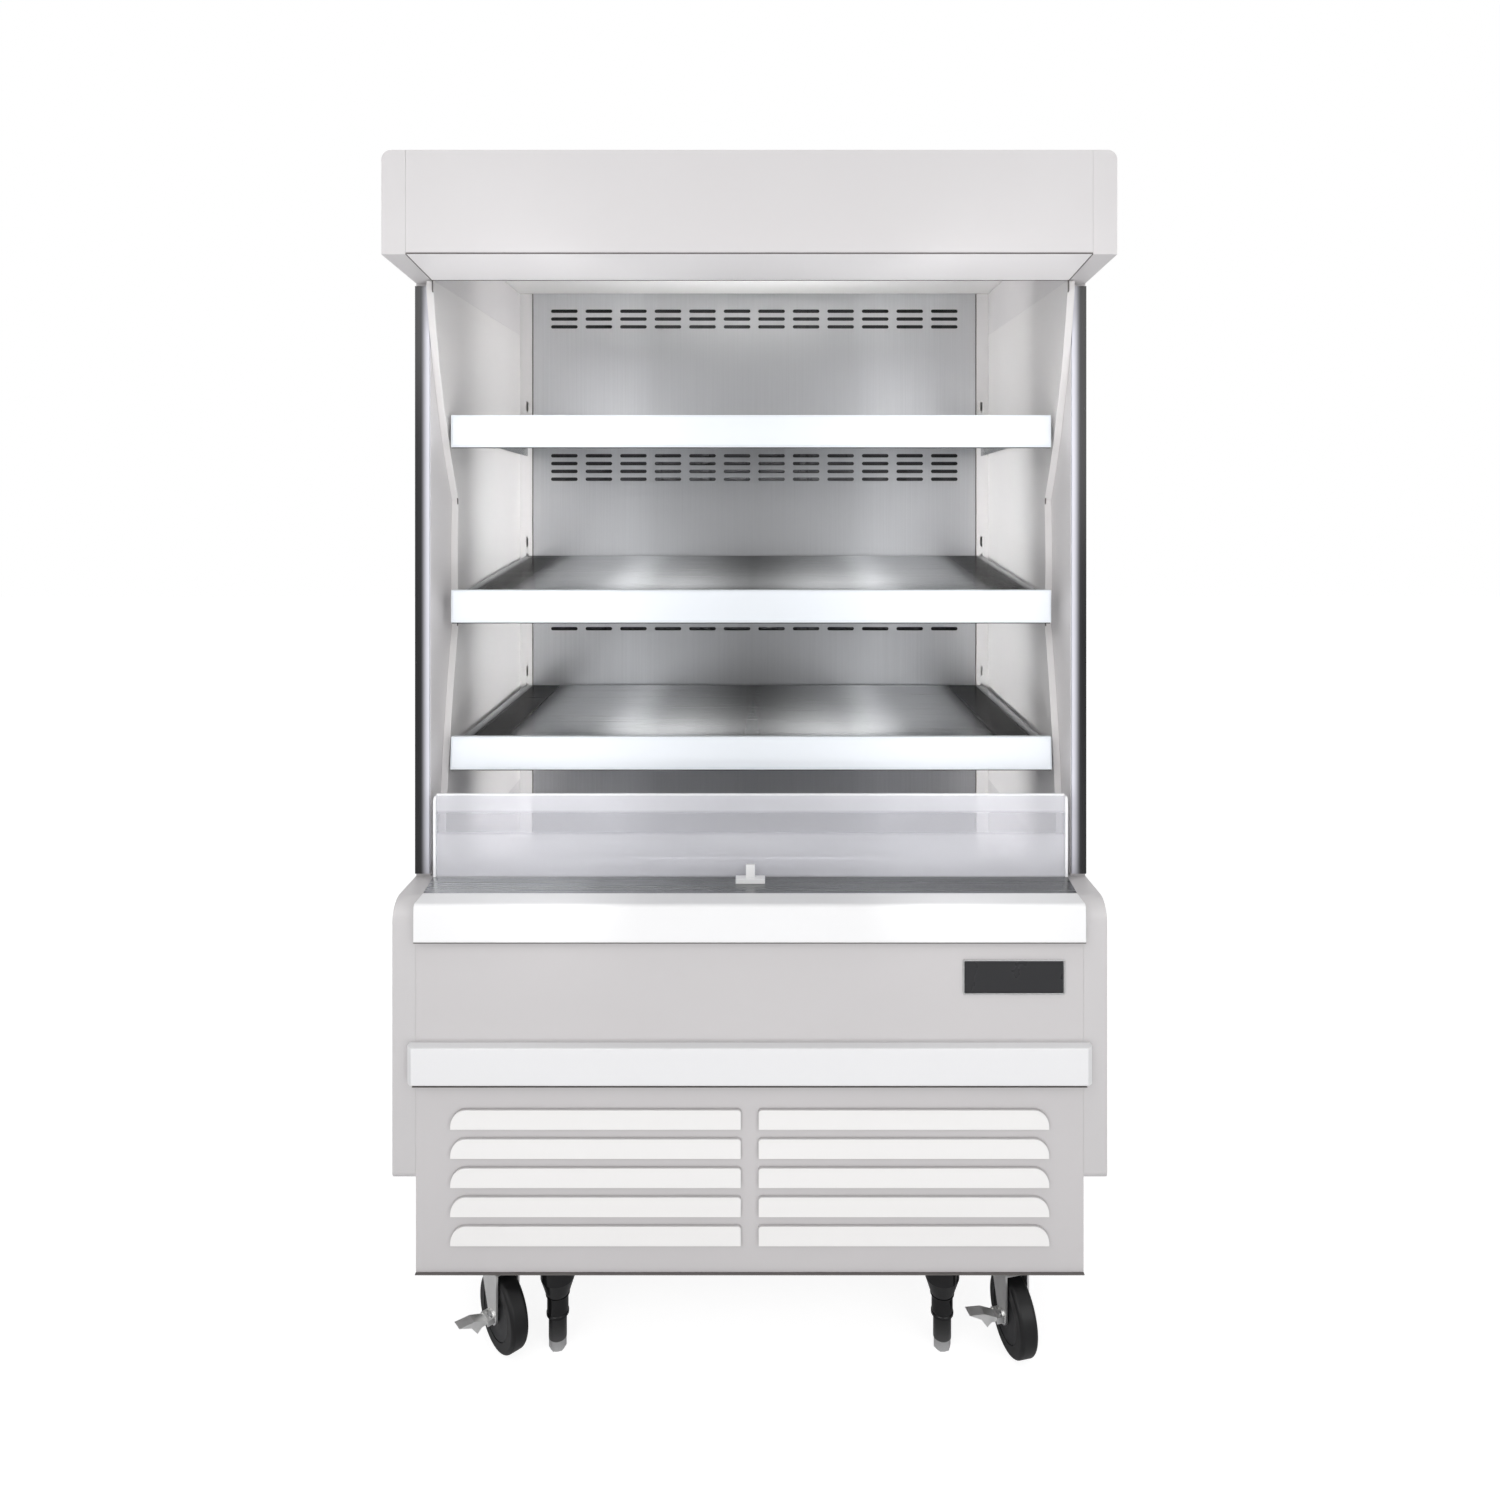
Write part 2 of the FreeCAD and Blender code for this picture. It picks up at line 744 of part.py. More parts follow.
lamp_sockets = []
for sign in (-1, 1):
    low, high = span(sign, "lamp_half-lamp_socket", "lamp_half")
    lamp_sockets.append(box("lamp_socket", low, high, "lamp_y", "lamp_y+lamp_deep",
                            "lamp_low-lamp_tube_drop-lamp_tube_radius", "lamp_low"))
lamp_bar = box("lamp_bar", "-fit_x", "fit_x", "lamp_y", "lamp_y+lamp_deep", "lamp_low", "lamp_low+lamp_tall")
lamp_tube = cylinder("lamp_tube", "X", "lamp_socket-lamp_half+seat_gap", "lamp_y+lamp_deep/2",
                     "lamp_low-lamp_tube_drop", "lamp_tube_radius", "2*(lamp_half-lamp_socket-seat_gap)")
group("canopy_lamp", [fuse("lamp_housing", [lamp_bar] + lamp_sockets), lamp_tube])

# ---- back panel and shelf uprights -------------------------------------------------------------

back = body("back_panel")
pad(back, "Y", [rect("panel_gap-upright_x", "upright_x-panel_gap", "deck_high", "liner_ceiling")],
    "back_y", "back_y+back_sheet")
slots = []
for row_group, rows in (("slots_top", 3), ("slots_middle", 4), ("slots_bottom", 3)):
    for row in range(rows):
        level = "%s-slot_row*%d" % (row_group, row)
        slots.append(stadium("-(slot_pitch*(slot_count-1)+slot_long)/2",
                             "(slot_long-slot_pitch*(slot_count-1))/2",
                             level + "-slot_tall/2", level + "+slot_tall/2"))
first_slots = pocket(back, "Y", slots, "back_y", "back_y+back_sheet")
repeat(back, [first_slots], "H_Axis", "slot_pitch*(slot_count-1)", "slot_count")


def upright(name, sign):
    """Channel open to the rear, with slots for the shelf hooks."""
    owner = inner_body(name)
    low, high = span(sign, "upright_x", "upright_x+upright_wide")
    inner_low, inner_high = span(sign, "upright_x+upright_sheet", "upright_x+upright_wide-upright_sheet")
    slot_low, slot_high = span(sign, "bracket_at-hook_slot_wide/2", "bracket_at+hook_slot_wide/2")
    pad(owner, "Z", [rect(low, high, "back_y", "back_y+upright_deep")], "deck_high", "liner_ceiling")
    pocket(owner, "Z", [rect(inner_low, inner_high, "back_y+upright_sheet", "back_y+upright_deep")],
           "deck_high", "liner_ceiling")
    loops = []
    for pivot in ("shelf_top_pivot", "shelf_mid_pivot", "shelf_low_pivot"):
        loops.append(rect(slot_low, slot_high, pivot + "-hook_slot_down-hook_pitch",
                          pivot + "+hook_slot_up-hook_pitch"))
    first = pocket(owner, "Y", loops, "back_y", "back_y+upright_sheet")
    repeat(owner, [first], "V_Axis", "hook_pitch*(hook_slots-1)", "hook_slots")
    return owner


group("shelf_uprights", [upright("upright_left", -1), upright("upright_right", 1)])

# ---- shelves -----------------------------------------------------------------------------------
# Each shelf is drawn level about its hook pivot and then set at its height and tilt.


def bracket(name, sign, heel):
    """Tapering side bracket with the hook that enters the upright; heel sets its lower end forward."""
    owner = inner_body(name)
    low, high = span(sign, "bracket_at-bracket_sheet/2", "bracket_at+bracket_sheet/2")
    hook_inner, hook_outer = span(sign, "bracket_at-hook_sheet/2", "bracket_at+hook_sheet/2")
    web = "seat_gap+upright_sheet+seat_gap"
    pad(owner, "X", [[("-" + heel, "-bracket_tall"), ("0", "-shelf_drop"),
                      ("-shelf_deep", "-shelf_drop"), ("-shelf_deep", "-bracket_nose")]], low, high)
    pad(owner, "X", [[("-hook_long", "-hook_low"), (web, "-hook_low"), (web, "-hook_low-hook_web"),
                      (web + "+hook_web", "-hook_low-hook_web"), (web + "+hook_web", "-hook_top"),
                      ("-hook_long", "-hook_top")]], hook_inner, hook_outer)
    return owner


def shelf(level, pivot, tilt, heel):
    name = "shelf_" + level
    plate = box(name + "_plate", "-shelf_half", "shelf_half", "-shelf_deep", "-shelf_back_gap",
                "-shelf_drop-shelf_sheet", "-shelf_drop")
    lip = box(name + "_lip", "-shelf_half", "shelf_half", "-shelf_deep", "shelf_sheet-shelf_deep",
              "-shelf_lip", "-shelf_drop")
    back_lip = box(name + "_back_lip", "-shelf_half", "shelf_half", "-shelf_back_gap-shelf_sheet",
                   "-shelf_back_gap", "-shelf_lip", "-shelf_drop")
    sides = []
    for sign in (-1, 1):
        low, high = span(sign, "shelf_half-shelf_sheet", "bracket_at")
        sides.append(box(name + "_side", low, high, "-shelf_deep", "-shelf_back_gap",
                         "-shelf_lip", "-shelf_drop"))
    brackets = [bracket(name + "_bracket_left", -1, heel), bracket(name + "_bracket_right", 1, heel)]
    whole = node(fuse(name, [plate, lip, back_lip] + sides + brackets), name)
    place(whole, "0", "pivot_y", pivot, Vec(1, 0, 0), tilt)

    rail = body("shelf_rail_" + level)
    rear = "-shelf_deep-seat_gap"
    pad(rail, "X", [[(rear, "rail_up"), (rear + "-rail_deep", "rail_up"),
                     (rear + "-rail_deep-rail_lean", "rail_up-rail_tall"),
                     (rear, "rail_up-rail_tall")]], "-rail_half", "rail_half")
    place(rail, "0", "pivot_y", pivot, Vec(1, 0, 0), tilt)


shelf("top", "shelf_top_pivot", "shelf_tilt", "bracket_heel")
shelf("middle", "shelf_mid_pivot", "shelf_tilt", "bracket_heel")
shelf("bottom", "shelf_low_pivot", "shelf_flat", "shelf_flat")

# ---- lower front -------------------------------------------------------------------------------

tub = body("lower_tub")
pad(tub, "X", [[
    ("tub_front_y", "tub_floor_low"), ("wall_y-seat_gap", "tub_floor_low"),
    ("wall_y-seat_gap", "tub_floor_top"), ("tub_front_y+tub_wall_thick", "tub_floor_top"),
    ("tub_front_y+tub_wall_thick", "sill_low-seat_gap"), ("tub_front_y", "sill_low-seat_gap")]],
    "-fit_x", "fit_x")

glass = body("front_glass")
pad(glass, "X", [rect("face_y+glass_front", "face_y+glass_front+glass_thick", "glass_low", "glass_top")],
    "-glass_half", "glass_half")

sill = body("front_sill")
pad(sill, "X", [[
    ("face_y+sill_front", "sill_low"), ("face_y+sill_back", "sill_low"),
    ("face_y+sill_back", "sill_high"), ("face_y+channel_back", "sill_high"),
    ("face_y+channel_back", "channel_low"), ("face_y+channel_front", "channel_low"),
    ("face_y+channel_front", "sill_high"), ("face_y+sill_slope_end", "sill_high"),
    ("face_y+sill_front", "sill_front_high")]], "-fit_x", "fit_x")

nose = body("front_rail")
nose_back = "face_y+sill_front-seat_gap"
pad(nose, "X", [[
    ("face_y+nose_front", "rail_face_low"), ("skin_y", "rail_face_low"),
    ("skin_y", "sill_low"), (nose_back, "sill_low"),
    (nose_back, "sill_front_high"),
    ("face_y+nose_front+nose_radius", "sill_front_high", "nose_radius", 1),
    ("face_y+nose_front", "sill_front_high-nose_radius")]], "-fit_x", "fit_x")

front = body("front_panel")
pad(front, "Y", [rect("-fit_x", "fit_x", "panel_split+seat_gap", "rail_face_low-seat_gap")],
    "base_y", "skin_y")


def is_bumper_edge(edge):
    """Long front edges of the bumper."""
    ends = edge.BoundBox
    return ends.XLength > value("cab_wide") / 2 and abs(ends.YMin - value("face_y+bumper_front")) < 0.01


bumper = body("bumper_rail")
bumper_y = "face_y+bumper_front"
bumper_pad = pad(bumper, "Z", [[
    ("-bumper_half", "base_y-seat_gap"), ("-bumper_half", bumper_y + "+bumper_chamfer"),
    ("bumper_chamfer-bumper_half", bumper_y), ("bumper_half-bumper_chamfer", bumper_y),
    ("bumper_half", bumper_y + "+bumper_chamfer"), ("bumper_half", "base_y-seat_gap")]],
    "bumper_low", "bumper_high")
fillet(bumper, bumper_pad, is_bumper_edge, "bumper_round")

grille = body("lower_grille")
pad(grille, "Y", [rect("-fit_x", "fit_x", "grille_low", "panel_split")], "base_y", "skin_y")


def louvre(inset, sign):
    """Louvre outline with a large round at its outer top corner."""
    inner = "(louvre_in+%s)" % inset
    outer = "(louvre_out-%s)" % inset
    top = "(louvre_top-louvre_pitch*(louvre_count-1)-%s)" % inset
    low = "(louvre_top-louvre_pitch*(louvre_count-1)-louvre_tall)"
    big = "(louvre_round-%s)" % inset
    small = "(louvre_small_round-%s)" % inset
    if sign > 0:
        return [(inner, low), (outer, low), (outer, top + "-" + big, big, 1),
                (outer + "-" + big, top), (inner + "+" + small, top, small, 1),
                (inner, top + "-" + small)]
    return [("-" + outer, low), ("-" + inner, low), ("-" + inner, top + "-" + small, small, 1),
            ("-" + inner + "-" + small, top), ("-" + outer + "+" + big, top, big, 1),
            ("-" + outer, top + "-" + big)]


hoods = pad(grille, "Y", [louvre("0", -1), louvre("0", 1)], "base_y-louvre_proud", "skin_y")
throats = pocket(grille, "Y", [louvre("louvre_sheet", -1), louvre("louvre_sheet", 1)],
                 "base_y-louvre_proud+louvre_sheet", "skin_y")
repeat(grille, [hoods, throats], "V_Axis", "louvre_pitch*(louvre_count-1)", "louvre_count")

catch_base = inner_body("catch_base")
slope = "(sill_high-sill_front_high)/(sill_slope_end-sill_front)"
catch_foot = "sill_front_high+seat_gap+%s*(catch_front-sill_front)" % slope
pad(catch_base, "X", [[
    ("face_y+catch_front", catch_foot),
    ("face_y+catch_front+catch_deep", catch_foot + "+%s*catch_deep" % slope),
    ("face_y+catch_front+catch_deep", "sill_high+catch_base_tall"),
    ("face_y+catch_front", "sill_high+catch_base_tall")]], "-catch_half", "catch_half")
catch_tab = box("catch_tab", "-catch_tab_half", "catch_tab_half",
                "face_y+catch_front+(catch_deep-catch_tab_deep)/2",
                "face_y+catch_front+(catch_deep+catch_tab_deep)/2",
                "sill_high+catch_base_tall+seat_gap", "catch_high")
group("curtain_catch", [catch_base, catch_tab])

# ---- return grille, deck and coil --------------------------------------------------------------

returns = body("return_grille")
pad(returns, "X", [[
    ("face_y+return_front", "sill_high"), ("riser_y", "return_back_high"),
    ("riser_y", "tub_floor_top+seat_gap"), ("riser_y-return_sheet", "tub_floor_top+seat_gap"),
    ("riser_y-return_sheet", "return_back_high-return_sheet"),
    ("face_y+return_front", "sill_high-return_sheet")]], "-fit_x", "fit_x")
row_loops = []
for row in range(3):
    slot_y = "riser_y-return_slot_row*%d" % (row + 1)
    row_loops.append(stadium("-(return_slot_pitch*(return_slots-1)+return_slot_long)/2",
                             "(return_slot_long-return_slot_pitch*(return_slots-1))/2",
                             slot_y + "-return_slot_wide/2", slot_y + "+return_slot_wide/2"))
top_slots = pocket(returns, "Z", row_loops, "return_back_high-return_sheet*2", "sill_high+return_sheet")
repeat(returns, [top_slots], "H_Axis", "return_slot_pitch*(return_slots-1)", "return_slots")
pocket(returns, "Y", [rect("-(fan_at+fan_ring_radius)", "fan_at+fan_ring_radius",
                           "tub_floor_top+frame_sheet", "pan_low-frame_sheet")],
       "riser_y-return_sheet", "riser_y")

pan = body("deck_pan")
pan_front = "riser_y+seat_gap"
pad(pan, "X", [[
    (pan_front, "pan_low"), (pan_front + "+pan_sheet", "pan_low"),
    (pan_front + "+pan_sheet", "deck_high-pan_sheet"),
    ("back_y-pan_back_gap-pan_sheet", "deck_high-pan_sheet"),
    ("back_y-pan_back_gap-pan_sheet", "pan_low"), ("back_y-pan_back_gap", "pan_low"),
    ("back_y-pan_back_gap", "deck_high"), (pan_front, "deck_high")]], "-pan_half", "pan_half")


def fan(label, across, deep, high, hub, tip, rise, long):
    """Axial fan drawn about its own axis, which runs front to back."""
    owner = body(label)
    pad(owner, "Y", [("0", "0", hub)], "0", long + "+fan_clear-seat_gap")
    end = long + "-blade_inset"
    blade = pad(owner, "X", [[("blade_inset", "-" + rise), ("blade_inset+fan_blade_sheet", "-" + rise),
                              (end, rise), (end + "-fan_blade_sheet", rise)]], hub + "*0.6", tip)
    ring = owner.newObject("PartDesign::PolarPattern", label + "_blades")
    ring.Originals = [blade]
    ring.Axis = ([o for o in owner.Origin.OriginFeatures if o.Role == "Y_Axis"][0], [""])
    ring.Angle = 360
    bind(ring, "Occurrences", "blade_count")
    owner.Tip = ring
    place(owner, across, deep, high, Vec(0, 0, 1), "0")


def fan_mount(owner, across, high, ring, start, bar, arm_wide, motor_radius, motor_long):
    """Round opening with a motor behind it on a stand-off bar."""
    low = "%s-%s/2" % (high, arm_wide)
    top = "%s+%s/2" % (high, arm_wide)
    for sign in (-1, 1):
        near, far = span(sign, ring + "+seat_gap", ring + "+seat_gap+fan_arm_sheet")
        pad(owner, "Y", [rect("%s+%s" % (across, near), "%s+%s" % (across, far), low, top)],
            start, bar + "+fan_arm_sheet")
    reach = ring + "+seat_gap+fan_arm_sheet"
    pad(owner, "Y", [rect("%s-(%s)" % (across, reach), "%s+%s" % (across, reach), low, top)],
        bar, bar + "+fan_arm_sheet")
    pad(owner, "Y", [(across, high, motor_radius)], bar + "+fan_arm_sheet",
        "%s+fan_arm_sheet+%s" % (bar, motor_long))


plate = body("fan_plate")
pad(plate, "Y", [rect("-pan_half", "pan_half", "tub_floor_top+seat_gap", "deck_high-pan_sheet-seat_gap")],
    "fan_y", "fan_y+fan_plate_sheet")
pocket(plate, "Y", [("-fan_at", "fan_high", "fan_ring_radius"), ("fan_at", "fan_high", "fan_ring_radius")],
       "fan_y", "fan_y+fan_plate_sheet")
for side, across in (("left", "-fan_at"), ("right", "fan_at")):
    fan_mount(plate, across, "fan_high", "fan_ring_radius", "fan_y+fan_plate_sheet",
              "fan_y+(fan_plate_sheet+fan_hub_long)/2+fan_clear", "fan_arm_wide",
              "fan_motor_radius", "fan_motor_long")
    fan("evaporator_fan_" + side, across, "fan_y+(fan_plate_sheet-fan_hub_long)/2", "fan_high",
        "fan_hub_radius", "fan_radius", "fan_blade_rise", "fan_hub_long")

coil = body("evaporator_coil")
coil_y = "face_y+coil_front"
coil_low = "tub_floor_top+seat_gap"
pad(coil, "X", [rect(coil_y, coil_y + "+coil_deep", coil_low, coil_low + "+coil_tall")],
    "-coil_half", "coil_half")
fin_start = "-(coil_fin_pitch*(coil_fins-1)+coil_fin_gap)/2"
coil_gap = pocket(coil, "Z", [rect(fin_start, fin_start + "+coil_fin_gap", coil_y, coil_y + "+coil_fin_cut"),
                              rect(fin_start, fin_start + "+coil_fin_gap", coil_y + "+coil_deep-coil_fin_cut",
                                   coil_y + "+coil_deep")], coil_low, coil_low + "+coil_tall")
repeat(coil, [coil_gap], "H_Axis", "coil_fin_pitch*(coil_fins-1)", "coil_fins")

# ---- machine compartment -----------------------------------------------------------------------

frame = body("base_frame")
pad(frame, "Z", [rect("-fit_x", "fit_x", "frame_y", "frame_back_y")], "frame_low", "frame_low+frame_sheet")
pad(frame, "Z", [[("-fit_x", "frame_y"), ("-skirt_x", "frame_y"), ("-skirt_x", "frame_back_y-frame_sheet"),
                  ("skirt_x", "frame_back_y-frame_sheet"), ("skirt_x", "frame_y"), ("fit_x", "frame_y"),
                  ("fit_x", "frame_back_y"), ("-fit_x", "frame_back_y")]], "grille_low", "frame_top")
posts = []
for sign in (-1, 1):
    near, far = span(sign, "skirt_x-frame_post", "skirt_x")
    posts.append(rect(near, far, "frame_y", "frame_y+frame_post"))
    posts.append(rect(near, far, "frame_back_y-frame_sheet-frame_post", "frame_back_y-frame_sheet"))
pad(frame, "Z", posts, "frame_low+frame_sheet", "frame_top")
pad(frame, "Z", [rect("-skirt_x", "skirt_x", "frame_y", "frame_y+frame_beam")],
    "frame_top-frame_beam", "frame_top")
vents = []
for sign in (-1, 1):
    near, far = span(sign, "vent_at-vent_long/2", "vent_at+vent_long/2")
    vents.append(stadium(near, far, "vent_low", "vent_low+vent_tall"))
vent = pocket(frame, "Y", vents, "frame_back_y-frame_sheet", "frame_back_y")
repeat(frame, [vent], "V_Axis", "vent_pitch*(vent_count-1)", "vent_count")
pocket(frame, "Y", [("-gland_at", "gland_high", "gland_radius+seat_gap")],
       "frame_back_y-frame_sheet", "frame_back_y")

gland = body("cable_gland")
pad(gland, "Y", [("-gland_at", "gland_high", "gland_radius")],
    "frame_back_y-frame_sheet*2", "frame_back_y+seat_gap")
pad(gland, "Y", [("-gland_at", "gland_high", "gland_flange")], "frame_back_y+seat_gap",
    "frame_back_y+seat_gap+gland_flange_thick")
pocket(gland, "Y", [("-gland_at", "gland_high", "gland_hole")], "frame_back_y-frame_sheet*2",
       "frame_back_y+seat_gap+gland_flange_thick")

screws = []
for across in ("-skirt_x+frame_post/2", "0", "skirt_x-frame_post/2"):
    for high in ("grille_low+frame_post", "frame_top-frame_post/2"):
        screws.append(cylinder("screw", "Y", across, "frame_back_y+seat_gap", high, "screw_head_radius",
                               "screw_head_tall"))
group("panel_screws", screws)


def is_dome(edge):
    """Top rim of the compressor can."""
    return abs(edge.BoundBox.ZMin - value(comp_top)) < 0.01


comp_top = "comp_low+comp_foot_tall+comp_stand+comp_tall"
compressor = body("compressor")
comp_can = "comp_low+comp_foot_tall+comp_stand"
pad(compressor, "Z", [rect("-comp_at-comp_foot_half", "comp_foot_half-comp_at",
                           "comp_y-comp_foot_deep", "comp_y+comp_foot_deep")],
    "comp_low", "comp_low+comp_foot_tall")
pad(compressor, "Z", [("-comp_at", "comp_y", "comp_stand_radius")], "comp_low+comp_foot_tall", comp_can)
can = pad(compressor, "Z", [("-comp_at", "comp_y", "comp_radius")], comp_can, comp_top)
fillet(compressor, can, is_dome, "comp_dome")

condenser = body("condenser_coil")
pad(condenser, "Y", [rect("cond_at-cond_half", "cond_at+cond_half", "cond_low", "cond_low+cond_tall")],
    "cond_y", "cond_back_y")
cond_start = "cond_at-(cond_fin_pitch*(cond_fins-1)+cond_fin_gap)/2"
cond_gap = pocket(condenser, "Y", [rect(cond_start, cond_start + "+cond_fin_gap", "cond_low",
                                        "cond_low+cond_tall")], "cond_y", "cond_y+cond_fin_cut")
repeat(condenser, [cond_gap], "H_Axis", "cond_fin_pitch*(cond_fins-1)", "cond_fins")

shroud = body("condenser_shroud")
shroud_y = "cond_back_y+seat_gap"
shroud_back = "cond_back_y+seat_gap+shroud_deep"
pad(shroud, "Y", [rect("cond_at-cond_half", "cond_at+cond_half", "cond_low", "cond_low+cond_tall")],
    shroud_y, shroud_back)
pocket(shroud, "Y", [rect("cond_at-cond_half+shroud_sheet", "cond_at+cond_half-shroud_sheet",
                          "cond_low+shroud_sheet", "cond_low+cond_tall-shroud_sheet")],
       shroud_y, shroud_back + "-shroud_sheet")
pocket(shroud, "Y", [("cond_at", "cond_mid_high", "cfan_ring_radius")],
       shroud_back + "-shroud_sheet", shroud_back)
fan_mount(shroud, "cond_at", "cond_mid_high", "cfan_ring_radius", shroud_back,
          shroud_back + "+(cfan_hub_long-shroud_sheet)/2+fan_clear", "cfan_arm_wide",
          "cfan_motor_radius", "cfan_motor_long")
fan("condenser_fan", "cond_at", shroud_back + "-(cfan_hub_long+shroud_sheet)/2", "cond_mid_high",
    "cfan_hub_radius", "cfan_radius", "cfan_blade_rise", "cfan_hub_long")


def tube(points):
    """Pipe along a bent line of points (across, deep, up)."""
    spots = [Vec(*[value(part) for part in point]) for point in points]
    bend = value("pipe_bend")
    edges = []
    start = spots[0]
    for i in range(1, len(spots) - 1):
        into = (spots[i] - spots[i - 1]).normalize()
        away = (spots[i + 1] - spots[i]).normalize()
        enter = spots[i] - into * bend
        leave = spots[i] + away * bend
        centre = enter + away * bend
        middle = centre + (spots[i] - centre).normalize() * bend
        edges.append(Part.makeLine(start, enter))
        edges.append(Part.Arc(enter, middle, leave).toShape())
        start = leave
    edges.append(Part.makeLine(start, spots[-1]))
    ring = Part.Wire(Part.makeCircle(value("pipe_radius"), spots[0], (spots[1] - spots[0]).normalize()))
    return Part.Wire(edges).makePipeShell([ring], True, True)


comp_side = "comp_radius+seat_gap+pipe_radius-comp_at"
pipes = [
    tube([(comp_side, "comp_y", "comp_low+comp_tall*0.7"), ("-comp_at/3", "comp_y", "comp_low+comp_tall*0.7"),
          ("-comp_at/3", "(cond_y+cond_back_y)/2", "comp_low+comp_tall*0.7"),
          ("cond_at-cond_half-seat_gap", "(cond_y+cond_back_y)/2", "comp_low+comp_tall*0.7")]),
    tube([("cond_at-cond_half-seat_gap", "(cond_y+cond_back_y)/2", "cond_low+pipe_bend"),
          ("-comp_at/4", "(cond_y+cond_back_y)/2", "cond_low+pipe_bend"),
          ("-comp_at/4", "comp_y+comp_radius*2", "cond_low+pipe_bend"),
          ("-comp_at/4", "comp_y+comp_radius*2", "frame_top")]),
    tube([(comp_side, "comp_y", "comp_low+comp_tall*0.3"), ("-comp_at/2", "comp_y", "comp_low+comp_tall*0.3"),
          ("-comp_at/2", "comp_y+comp_radius*2", "comp_low+comp_tall*0.3"),
          ("-comp_at/2", "comp_y+comp_radius*2", "frame_top")]),
]
shaped("refrigerant_lines", Part.makeCompound(pipes))

# ---- casters -----------------------------------------------------------------------------------
# Each caster is drawn about its own upright swivel axis and then turned and set in its corner.


def is_tread(edge):
    """Rims of the wheel tread."""
    curve = edge.Curve
    return isinstance(curve, Part.Circle) and abs(curve.Radius - value("wheel_radius")) < 0.01


def wheel(label, across, deep, yaw):
    owner = body(label)
    hub = ("-caster_trail", "wheel_radius")
    half = "wheel_wide/2"
    tread = pad(owner, "X", [hub + ("wheel_radius",)], "-" + half, half)
    fillet(owner, tread, is_tread, "wheel_round")
    dish = [hub + ("wheel_dish_radius",), hub + ("wheel_boss_radius",)]
    pocket(owner, "X", dish, half + "-wheel_dish", half)
    pocket(owner, "X", dish, "-" + half, "wheel_dish-" + half)
    pocket(owner, "X", [hub + ("axle_radius+run_gap",)], "-" + half, half)
    place(owner, across, deep, "0", Vec(0, 0, 1), yaw)


def fork(label, across, deep, yaw, braked):
    owner = body(label)
    hub = ("-caster_trail", "wheel_radius")
    pad(owner, "Z", [("0", "0", "caster_crown_radius")], "crown_low", "crown_top")
    pad(owner, "X", [[
        ("-caster_trail-fork_foot_half", "wheel_radius", "fork_foot_half*1.0001", 1),
        ("fork_foot_half-caster_trail", "wheel_radius"),
        ("caster_crown_radius/2", "crown_low"), ("caster_crown_radius/2", "crown_top"),
        ("-caster_trail", "crown_top"), ("-caster_trail-fork_foot_half", "crown_low")]],
        "-fork_out", "fork_out")
    pocket(owner, "Y", [rect("-fork_in", "fork_in", "0", "crown_low")], "-2*wheel_radius", "2*wheel_radius")
    pad(owner, "X", [hub + ("axle_radius",)], "-fork_out", "fork_out")
    pad(owner, "X", [hub + ("axle_head_radius",)], "fork_out", "fork_out+axle_head")
    pad(owner, "X", [hub + ("axle_head_radius",)], "-fork_out-axle_head", "-fork_out")
    if braked:
        reach = "-fork_out-lever_out"
        ear = rect(reach + "-lever_barrel_radius", "-fork_out",
                   "lever_high-lever_barrel_radius", "lever_high+lever_barrel_radius")
        near = "lever_wide/2+seat_gap"
        pad(owner, "Y", [ear], "-caster_trail+" + near, "-caster_trail+" + near + "+lever_ear")
        pad(owner, "Y", [ear], "-caster_trail-(%s)-lever_ear" % near, "-caster_trail-(%s)" % near)
        pad(owner, "Y", [(reach, "lever_high", "lever_pin_radius")],
            "-caster_trail-(%s)" % near, "-caster_trail+" + near)
    place(owner, across, deep, "0", Vec(0, 0, 1), yaw)


def brake_lever(label, across, deep, yaw):
    """Foot tab that turns on a pin beside the fork."""
    owner = body(label)
    root = "-fork_out-lever_out"
    low, high = "-caster_trail-lever_wide/2", "-caster_trail+lever_wide/2"
    pad(owner, "Y", [[
        (root, "lever_high-lever_sheet/2"), (root, "lever_high+lever_sheet/2"),
        (root + "-lever_long*0.5", "lever_high+lever_rise*0.7+lever_sheet/2"),
        (root + "-lever_long", "lever_high+lever_rise"),
        (root + "-lever_long*0.6", "lever_high+lever_rise*0.5-lever_sheet/2"),
        (root + "-lever_long*0.4", "lever_high+lever_rise*0.3-lever_tooth-lever_sheet"),
        (root + "-lever_long*0.25", "lever_high-lever_sheet/2")]], low, high)
    pad(owner, "Y", [(root, "lever_high", "lever_barrel_radius")], low, high)
    pocket(owner, "Y", [(root, "lever_high", "lever_pin_radius+run_gap")], low, high)
    place(owner, across, deep, "0", Vec(0, 0, 1), yaw)


def caster_plate(name, across, deep):
    owner = inner_body(name)
    pad(owner, "Z", [rect("-caster_plate_half_wide", "caster_plate_half_wide",
                          "-caster_plate_half_deep", "caster_plate_half_deep")],
        "caster_top-caster_plate_thick", "caster_top")
    pad(owner, "Z", [("0", "0", "caster_race_radius")], "race_low", "caster_top-caster_plate_thick")
    place(owner, across, deep, "0", Vec(0, 0, 1), "0")
    return owner


